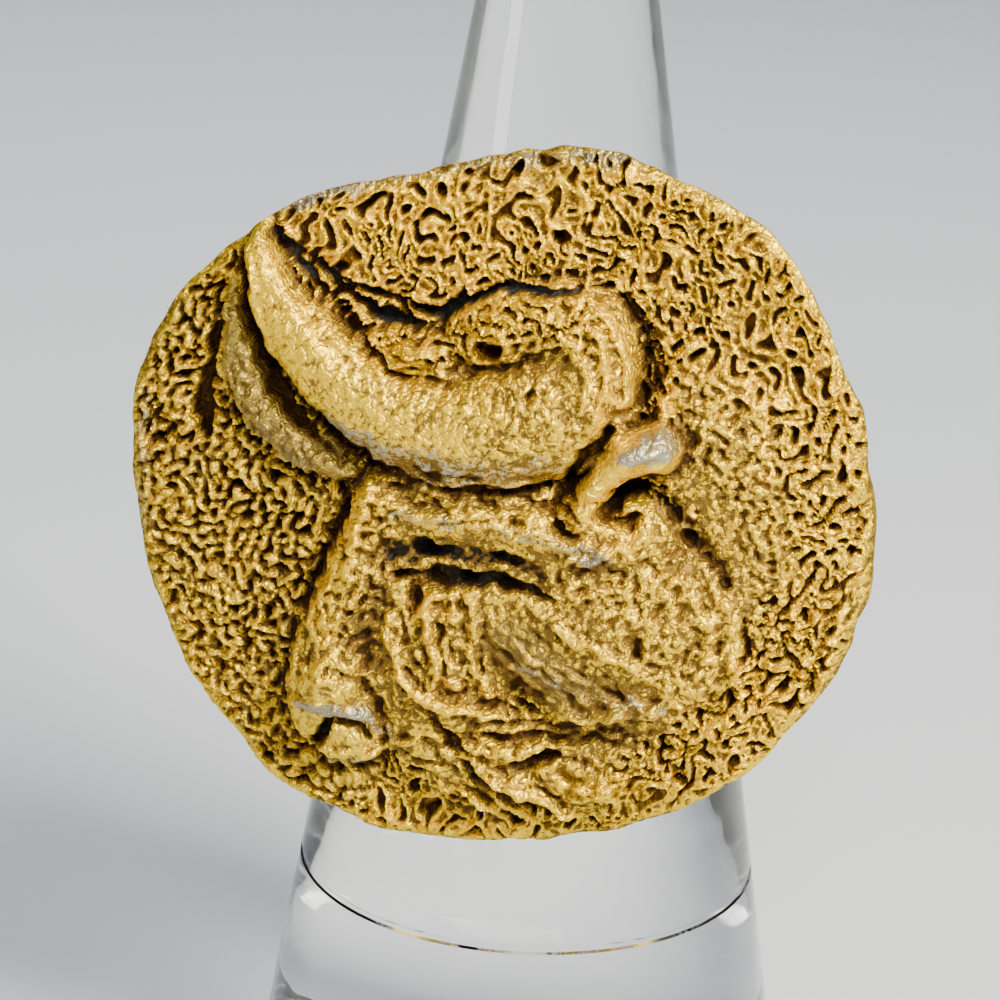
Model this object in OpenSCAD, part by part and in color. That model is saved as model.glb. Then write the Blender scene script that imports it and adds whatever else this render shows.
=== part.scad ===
// Adjustable ring with a large cast medallion, standing on a clear ring cone.
// The origin is the middle of the cone's foot, and the medallion faces -Y.

/* [Ring] */
// Inside diameter of the band
ring_inner_d = 18.3; // [16.5:0.1:18.4]
// Thickness of the band
band_t = 1.0; // [0.7:0.1:1.2]
// Width of the band
band_w = 5.0; // [3.5:0.5:6]
// Opening between the band's two ends
band_gap = 5.0; // [2:0.5:7]
// Diameter of the pad that carries the medallion
pad_d = 12.0; // [8:0.5:13]
// Thickness of the pad
pad_t = 0.8; // [0.6:0.1:1]

/* [Medallion] */
// Thickness of the plate at the rim
plate_t = 1.7; // [1.2:0.1:2.2]
// Extra thickness of the plate at its middle
crown = 0.8; // [0:0.1:1.5]
// Height of the relief, as a share of the measured one
relief = 1.0; // [0.5:0.05:1.2]
// Cells across the relief's grid
relief_cells = 64; // [24:2:70]

/* [Ring cone] */
// Diameter at the foot, before its edge is broken
cone_foot_d = 30.0; // [29:0.1:30]
// Diameter at the top, before its edge is rounded
cone_tip_d = 6.0; // [5:0.1:6.2]
// Height of the cone
cone_h = 74.0; // [72:0.5:74]

/* [Placing] */
// Height of the ring's middle above the floor
ring_z = 40.1; // [40:0.1:44]
// Angle by which the ring leans back on the cone
lean = 3.0; // [2:0.5:5]

/* [Hidden] */
$fn = 96;

// The ring sits a little behind the cone's axis, where its lower edge meets the cone
ring_shift = 0.04;
ring_inner_r = ring_inner_d / 2;
ring_outer_r = ring_inner_r + band_t;
band_edge = 0.2;
// Depth to which the pad is let into the band where they are soldered
pad_sink = 0.3;
pad_back = ring_outer_r - pad_sink;
// Gap filled by the cement between the pad and the medallion
cement = 0.05;
medallion_back = pad_back + pad_t + cement;
// Share of the outline that the flat back covers, inside the rounded rim
back_share = 0.975;
// Higher powers make the forms meet in a sharper line
meeting = 5;
// Stations worked out between two rows of a form
steps = 3;
foot_edge = 0.4;
tip_round = 1.6;
tip_steps = 8;

// Outline of the medallion about its middle: angle, reach
OUTLINE = [
  [-180, 19.6], [-170, 19.5], [-158, 19.7], [-150, 19.7], [-140, 19.9],
  [-132, 20.2], [-124, 20.4], [-112, 20.2], [-102, 19.6], [-92, 19.2],
  [-75, 18.8], [-60, 18.9], [-46, 19.0], [-33, 18.9], [-16, 19.2],
  [-4, 18.9], [8, 18.6], [27, 18.3], [40, 18.7], [52, 18.9],
  [59, 18.7], [65, 18.1], [71, 18.5], [79, 18.2], [90, 17.4],
  [102, 16.8], [112, 16.7], [122, 17.3], [130, 18.0], [139, 18.3],
  [147, 18.9], [156, 19.6], [170, 19.9], [180, 19.6]
];

// Every form is a table of stations: across, up, half width, height.
FRONT_HORN = [
  [-12.7, 12.7, 0.5, 1.2], [-12.8, 11.1, 0.9, 1.7], [-11.8, 8.8, 1.4, 2.1],
  [-10.0, 6.8, 1.9, 2.5], [-7.6, 4.9, 2.3, 2.9], [-4.7, 3.8, 2.8, 3.2],
  [-1.2, 3.7, 3.3, 3.4], [2.0, 4.6, 3.5, 3.4], [3.9, 5.6, 2.9, 3.2]
];
REAR_HORN = [
  [-14.2, 9.8, 0.5, 0.9], [-13.9, 7.1, 1.1, 1.2], [-13.4, 5.0, 1.4, 1.4],
  [-12.2, 3.3, 1.5, 1.5], [-10.7, 2.0, 1.5, 1.6], [-9.0, 1.1, 1.2, 1.6],
  [-7.6, 0.7, 0.7, 1.4]
];
POLL = [
  [-1.8, 7.8, 1.5, 1.9], [0.4, 8.8, 2.1, 2.4], [2.6, 9.2, 2.3, 2.6],
  [4.2, 8.5, 2.3, 2.6], [5.0, 6.9, 1.9, 2.5]
];
FORELOCK = [[-7.8, 7.5, 0.6, 1.2], [-5.5, 6.9, 1.2, 1.7], [-3.2, 7.0, 1.2, 1.9]];
EAR = [
  [4.5, -0.2, 0.8, 2.3], [4.6, 0.7, 0.8, 2.5], [5.0, 1.8, 0.9, 2.7],
  [6.2, 3.0, 1.3, 3.1], [7.6, 3.5, 1.5, 3.1]
];
NOSE = [
  [-6.0, -0.4, 1.4, 1.9], [-6.5, -2.6, 1.6, 2.0], [-7.2, -4.7, 1.8, 2.1],
  [-7.9, -6.9, 1.9, 2.1], [-8.3, -9.1, 2.1, 2.2]
];
MUZZLE = [
  [-8.3, -9.9, 2.0, 2.4], [-8.3, -11.1, 2.1, 2.6], [-7.2, -12.4, 2.1, 2.4],
  [-6.0, -13.3, 1.5, 2.0]
];
FACE = [
  [-3.3, -1.7, 4.2, 1.8], [-3.6, -5.4, 5.3, 1.9], [-3.2, -8.6, 5.3, 1.9],
  [-2.9, -10.7, 4.2, 1.8]
];
BROW = [
  [-4.8, -1.3, 2.1, 2.0], [-1.2, -1.4, 2.4, 2.2], [3.4, -1.4, 2.6, 2.3],
  [7.3, -1.1, 2.4, 2.0]
];
CHEEK = [
  [1.5, -4.3, 5.3, 2.0], [5.2, -5.8, 6.3, 2.5], [8.2, -6.1, 5.8, 2.4],
  [10.6, -4.9, 4.2, 1.8]
];
NECK = [
  [9.9, 4.1, 4.8, 1.2], [13.1, 0.9, 6.3, 1.3], [14.4, -3.1, 6.3, 1.4],
  [12.7, -8.0, 5.8, 1.4], [9.9, -11.5, 4.8, 1.3]
];
THROAT = [
  [-2.8, -13.2, 3.0, 1.5], [1.9, -14.0, 3.7, 1.7], [7.0, -13.4, 4.0, 1.6],
  [10.4, -11.4, 4.2, 1.4]
];
JAW_RIDGE = [
  [-3.1, -11.0, 1.2, 0.3], [-0.2, -11.7, 1.3, 0.5], [3.9, -10.7, 1.3, 0.5],
  [8.4, -10.1, 1.4, 0.5], [11.8, -7.5, 1.4, 0.3]
];
BROW_RIDGE = [
  [-5.6, -0.6, 0.8, 0.2], [-2.8, -1.1, 0.9, 0.4], [0.8, -0.9, 0.9, 0.4],
  [3.9, -1.7, 0.8, 0.4], [6.0, -2.0, 0.8, 0.4], [7.7, -1.0, 0.7, 0.2]
];
HORN_GAP = [
  [-13.8, 10.2, 0.4, 0.7], [-13.3, 7.4, 0.5, 1.0], [-12.4, 5.1, 0.6, 1.1],
  [-11.2, 3.5, 0.5, 1.1], [-9.7, 2.2, 0.5, 0.9], [-8.2, 1.2, 0.4, 0.6]
];
CREST_GAP = [
  [-10.8, 11.1, 0.6, 0.5], [-8.9, 10.2, 0.9, 0.8], [-6.9, 9.5, 1.0, 0.9],
  [-4.8, 8.9, 0.8, 0.9], [-3.1, 8.3, 0.7, 0.8], [-2.0, 9.4, 0.6, 0.7],
  [-0.9, 10.3, 0.6, 0.6], [1.2, 10.9, 0.6, 0.6], [3.5, 11.1, 0.5, 0.5]
];
EAR_GAP = [
  [2.9, -0.1, 0.5, 0.8], [3.4, 1.6, 0.5, 1.1], [4.8, 2.9, 0.5, 1.3],
  [6.1, 4.9, 0.6, 1.3], [6.9, 6.2, 0.6, 1.0]
];
EAR_HOLE = [[5.2, -0.1, 0.6, 1.0], [6.1, 0.8, 0.8, 1.4], [7.3, 1.3, 0.7, 0.9]];
EYE = [
  [-4.7, -4.7, 0.6, 0.8], [-2.3, -4.1, 0.7, 1.0], [0.6, -4.1, 0.7, 1.0],
  [3.4, -4.5, 0.5, 0.6]
];
MOUTH = [
  [-2.3, -12.0, 0.6, 0.6], [-1.1, -13.6, 0.7, 0.8], [-0.2, -14.9, 0.6, 0.7],
  [1.4, -16.2, 0.5, 0.4]
];

// The groups below pair each table with its roundness: 0.5 is a full tube, 2 a soft swell.
MASSES = [
  [FRONT_HORN, 0.7], [REAR_HORN, 0.8], [POLL, 0.8], [FORELOCK, 1.0], [EAR, 0.8],
  [NOSE, 0.8], [MUZZLE, 0.7], [FACE, 0.8], [BROW, 1.0], [CHEEK, 1.0],
  [NECK, 1.5], [THROAT, 1.2]
];
RIDGES = [[JAW_RIDGE, 1.5], [BROW_RIDGE, 1.5]];
CUTS = [[HORN_GAP, 1], [CREST_GAP, 1], [EAR_GAP, 1], [EAR_HOLE, 1], [EYE, 1], [MOUTH, 1]];

// A smooth curve through rows b and c, with a before them and d after them
function between(a, b, c, d, t) =
  0.5 * (2 * b + (c - a) * t + (2 * a - 5 * b + 4 * c - d) * t * t
    + (3 * b - a - 3 * c + d) * t * t * t);

function stations(rows) = let (last = len(rows) - 1) [
  for (i = [0 : last - 1], s = [0 : steps - 1])
    between(rows[max(i - 1, 0)], rows[i], rows[i + 1], rows[min(i + 2, last)], s / steps),
  rows[last]
];

// The box round a form's stations: lowest and highest across and up
function box_of(rows) = [
  min([for (r = rows) r[0] - r[2]]), max([for (r = rows) r[0] + r[2]]),
  min([for (r = rows) r[1] - r[2]]), max([for (r = rows) r[1] + r[2]])
];

function prepared(group) = [
  for (form = group) let (rows = stations(form[0])) [rows, form[1], box_of(rows)]
];

MASS_FORMS = prepared(MASSES);
RIDGE_FORMS = prepared(RIDGES);
CUT_FORMS = prepared(CUTS);

// Height that the length between stations a and b gives at the point p
function length_height(p, a, b, roundness) =
  let (
    run = [b[0] - a[0], b[1] - a[1]],
    from_a = [p[0] - a[0], p[1] - a[1]],
    t = min(1, max(0, (from_a * run) / (run * run))),
    off = from_a - t * run,
    r = a[2] + t * (b[2] - a[2]),
    inside = 1 - (off * off) / (r * r)
  )
  inside <= 0 ? 0 : (a[3] + t * (b[3] - a[3])) * pow(inside, roundness);

function form_height(p, form) =
  let (rows = form[0], box = form[2])
  p[0] < box[0] || p[0] > box[1] || p[1] < box[2] || p[1] > box[3] ? 0
    : max([for (i = [0 : len(rows) - 2]) length_height(p, rows[i], rows[i + 1], form[1])]);

function total(values, i = 0) = i == len(values) ? 0 : values[i] + total(values, i + 1);

function mass_height(p) =
  pow(total([for (form = MASS_FORMS) pow(form_height(p, form), meeting)]), 1 / meeting);

function relief_height(p) =
  mass_height(p)
  + total([for (form = RIDGE_FORMS) form_height(p, form)])
  - max([for (form = CUT_FORMS) form_height(p, form)]);

// The grid's square is bent to a circle, and the circle is drawn out to the outline.
function disc_point(i, j) =
  let (
    s = 2 * i / relief_cells - 1,
    t = 2 * j / relief_cells - 1,
    x = s * sqrt(1 - t * t / 2),
    y = t * sqrt(1 - s * s / 2)
  )
  [x, y] * lookup(atan2(y, x), OUTLINE);

function front_point(i, j) =
  let (
    p = disc_point(i, j),
    share = norm(p) / lookup(atan2(p[1], p[0]), OUTLINE),
    thickness = plate_t + crown * (1 - share * share) + relief * relief_height(p)
  )
  [p[0], -medallion_back - thickness, p[1]];

// Grid place of the point k steps along the rim, anticlockwise from the lower left
function rim_place(k) =
  let (n = relief_cells, side = floor(k / n) % 4, along = k % n)
  side == 0 ? [along, 0] : side == 1 ? [n, along] : side == 2 ? [n - along, n] : [0, n - along];

module medallion_solid() {
  n = relief_cells;
  rim_count = 4 * n;
  front = [for (i = [0 : n], j = [0 : n]) front_point(i, j)];
  back = [
    for (k = [0 : rim_count - 1])
      let (place = rim_place(k), p = back_share * disc_point(place[0], place[1]))
      [p[0], -medallion_back, p[1]]
  ];
  points = concat(front, back, [[0, -medallion_back, 0]]);
  back_start = len(front);
  centre = len(points) - 1;
  // Each cell is split along the diagonal whose ends differ less in height
  cells = [
    for (i = [0 : n - 1], j = [0 : n - 1], half = [0, 1])
      let (
        a = i * (n + 1) + j,
        b = a + 1,
        c = a + n + 2,
        d = a + n + 1,
        level = abs(front[a][1] - front[c][1]) < abs(front[b][1] - front[d][1])
      )
      level ? (half == 0 ? [a, b, c] : [a, c, d]) : (half == 0 ? [a, b, d] : [b, c, d])
  ];
  sides = [
    for (k = [0 : rim_count - 1], part = [0 : 2])
      let (
        here = rim_place(k),
        next = rim_place(k + 1),
        a = here[0] * (n + 1) + here[1],
        b = next[0] * (n + 1) + next[1],
        c = back_start + (k + 1) % rim_count,
        d = back_start + k
      )
      part == 0 ? [a, b, c] : part == 1 ? [a, c, d] : [d, c, centre]
  ];
  polyhedron(points, concat(cells, sides), convexity = 10);
}

// Places the ring's own parts on the cone
module on_cone() {
  translate([0, ring_shift, ring_z]) rotate([-lean, 0, 0]) children();
}

module medallion() {
  color("goldenrod") on_cone() medallion_solid();
}

module band_hoop() {
  half = band_w / 2;
  rotate_extrude()
    polygon([
      [ring_inner_r + band_edge, -half], [ring_outer_r - band_edge, -half],
      [ring_outer_r, -half + band_edge], [ring_outer_r, half - band_edge],
      [ring_outer_r - band_edge, half], [ring_inner_r + band_edge, half],
      [ring_inner_r, half - band_edge], [ring_inner_r, -half + band_edge]
    ]);
}

// What is cut away behind the finger, leaving two round ends
module band_opening() {
  end_x = (band_gap + band_w) / 2;
  translate([0, 2 * ring_outer_r, 0]) rotate([90, 0, 0])
    linear_extrude(2 * ring_outer_r)
      difference() {
        square([2 * end_x, band_w + 1], center = true);
        for (side = [-1, 1]) translate([side * end_x, 0]) circle(d = band_w);
      }
}

module band() {
  color("gold") on_cone() {
    difference() {
      band_hoop();
      band_opening();
    }
    translate([0, -pad_back, 0]) rotate([90, 0, 0]) cylinder(d = pad_d, h = pad_t);
  }
}

module ring_cone() {
  foot_r = cone_foot_d / 2;
  slope = (foot_r - cone_tip_d / 2) / cone_h;
  half_angle = atan(slope);
  // Middle of the rounding at the top's edge, which runs on from the cone's side
  round_z = cone_h - tip_round;
  round_x = foot_r - slope * round_z - tip_round / cos(half_angle);
  color([0.85, 0.9, 0.95, 0.4])
    rotate_extrude()
      polygon(concat(
        [[0, 0], [foot_r - foot_edge, 0], [foot_r - slope * foot_edge, foot_edge]],
        [
          for (i = [0 : tip_steps])
            let (a = half_angle + (90 - half_angle) * i / tip_steps)
            [round_x + tip_round * cos(a), round_z + tip_round * sin(a)]
        ],
        [[0, cone_h]]
      ));
}

medallion();
band();
ring_cone();
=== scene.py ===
"""Adjustable ring with a large cast medallion, standing on a clear ring cone."""

import math

import bmesh
import bpy
import numpy as np
from bpy.props import FloatProperty, FloatVectorProperty, IntProperty, PointerProperty
from bpy.types import Operator, Panel, PropertyGroup
from mathutils import Matrix, Vector


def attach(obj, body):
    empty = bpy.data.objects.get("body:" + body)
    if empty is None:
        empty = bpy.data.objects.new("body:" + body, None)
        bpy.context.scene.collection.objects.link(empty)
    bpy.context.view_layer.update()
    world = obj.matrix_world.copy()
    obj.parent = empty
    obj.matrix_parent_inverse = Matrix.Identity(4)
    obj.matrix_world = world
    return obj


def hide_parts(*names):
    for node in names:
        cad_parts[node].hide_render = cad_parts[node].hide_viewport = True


bl_info = {
    "name": "Cast Medallion Ring",
    "version": (1, 0, 0),
    "blender": (4, 5, 0),
    "location": "View3D > Sidebar > Ring",
    "description": "Adds an open gilt ring with a cast medallion, its ring cone and a stage",
    "category": "Add Mesh",
}

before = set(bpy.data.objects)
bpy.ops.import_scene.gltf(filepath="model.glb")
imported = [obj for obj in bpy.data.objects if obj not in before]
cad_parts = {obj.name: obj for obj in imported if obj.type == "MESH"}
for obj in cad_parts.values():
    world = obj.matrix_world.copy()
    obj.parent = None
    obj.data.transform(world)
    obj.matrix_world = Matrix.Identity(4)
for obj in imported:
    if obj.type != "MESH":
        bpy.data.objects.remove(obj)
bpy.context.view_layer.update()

MM = 0.001
# The ring's middle on the cone, and the angle by which it leans back
RING_SHIFT = 0.04
RING_Z = 40.1
LEAN = 3.0
ON_CONE = (
    Matrix.Scale(MM, 4)
    @ Matrix.Translation((0, RING_SHIFT, RING_Z))
    @ Matrix.Rotation(math.radians(-LEAN), 4, "X")
)

# Outline of the medallion: angle in degrees, reach in millimetres
OUTLINE = np.array([
    (-180, 19.6), (-170, 19.5), (-158, 19.7), (-150, 19.7), (-140, 19.9), (-132, 20.2), (-124, 20.4),
    (-112, 20.2), (-102, 19.6), (-92, 19.2), (-75, 18.8), (-60, 18.9), (-46, 19), (-33, 18.9), (-16, 19.2),
    (-4, 18.9), (8, 18.6), (27, 18.3), (40, 18.7), (52, 18.9), (59, 18.7), (65, 18.1), (71, 18.5),
    (79, 18.2), (90, 17.4), (102, 16.8), (112, 16.7), (122, 17.3), (130, 18), (139, 18.3), (147, 18.9),
    (156, 19.6), (170, 19.9), (180, 19.6)])

# Main forms: roundness, then rows of across, up, half width and height in millimetres
MASSES = {
    "front horn": (0.5, [
        (-12.7, 12.7, 0.4, 1.2), (-12.8, 11.1, 0.9, 1.7), (-11.8, 8.8, 1.4, 2.1), (-10, 6.8, 1.9, 2.5),
        (-7.6, 4.9, 2.3, 2.9), (-4.7, 3.8, 2.8, 3.2), (-1.2, 3.7, 3.3, 3.4), (2, 4.6, 3.5, 3.4),
        (3.9, 5.6, 2.9, 3.2)]),
    "rear horn": (0.9, [
        (-14.2, 9.8, 0.5, 0.8), (-13.9, 7.1, 1.1, 1.1), (-13.4, 5, 1.4, 1.3), (-12.2, 3.3, 1.5, 1.4),
        (-10.7, 2, 1.5, 1.5), (-9, 1.1, 1.2, 1.5), (-7.6, 0.7, 0.7, 1.3)]),
    "poll": (0.7, [
        (-1.8, 7.8, 1.5, 1.9), (0.4, 8.8, 2.1, 2.4), (2.6, 9.2, 2.3, 2.6), (4.2, 8.5, 2.3, 2.6),
        (5, 6.9, 1.9, 2.5)]),
    "forelock": (1, [(-7.8, 7.5, 0.6, 1.2), (-5.5, 6.9, 1.2, 1.7), (-3.2, 7, 1.2, 1.9)]),
    "ear lobe": (0.5, [
        (5, 1.7, 0.8, 2.6), (5.8, 2.5, 1.2, 3.1), (6.7, 3.3, 1.5, 3.5), (7.6, 3.5, 1.5, 3.4)]),
    "ear stem": (0.5, [(5, 1.7, 0.8, 2.5), (4.6, 0.7, 0.9, 2.6), (4.5, -0.2, 0.9, 2.4)]),
    "nose": (0.6, [
        (-6, -0.4, 1.4, 1.9), (-6.5, -2.6, 1.6, 2), (-7.2, -4.7, 1.8, 2.1), (-7.9, -6.9, 1.9, 2.1),
        (-8.3, -9.1, 2.1, 2.2)]),
    "muzzle": (0.5, [
        (-8.4, -9.7, 2.2, 2.4), (-8.4, -11.2, 2.3, 2.6), (-8, -12.4, 2.3, 2.4), (-6.8, -13.2, 1.7, 2)]),
    "face": (0.7, [
        (-3.3, -1.7, 4.2, 1.8), (-3.6, -5.4, 5.3, 1.9), (-3.2, -8.6, 5.3, 1.9), (-2.9, -10.7, 4.2, 1.8)]),
    "cheek": (1, [
        (1.5, -4.3, 5.3, 2), (5.2, -5.8, 6.3, 2.5), (8.2, -6.1, 5.8, 2.4), (10.6, -4.9, 4.2, 1.8)]),
    "brow": (1, [(-4.8, -1.3, 2.1, 2), (-1.2, -1.4, 2.4, 2.2), (3.4, -1.4, 2.6, 2.3), (7.3, -1.1, 2.4, 2)]),
    "neck": (1.5, [
        (9.9, 4.1, 4.8, 1.2), (13.1, 0.9, 6.3, 1.3), (14.4, -3.1, 6.3, 1.4), (12.7, -8, 5.8, 1.4),
        (9.9, -11.5, 4.8, 1.3)]),
    "throat": (1.2, [
        (-2.8, -13.2, 3, 1.5), (1.9, -14, 3.7, 1.7), (7, -13.4, 4, 1.6), (10.4, -11.4, 4.2, 1.4)]),
}

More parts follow.
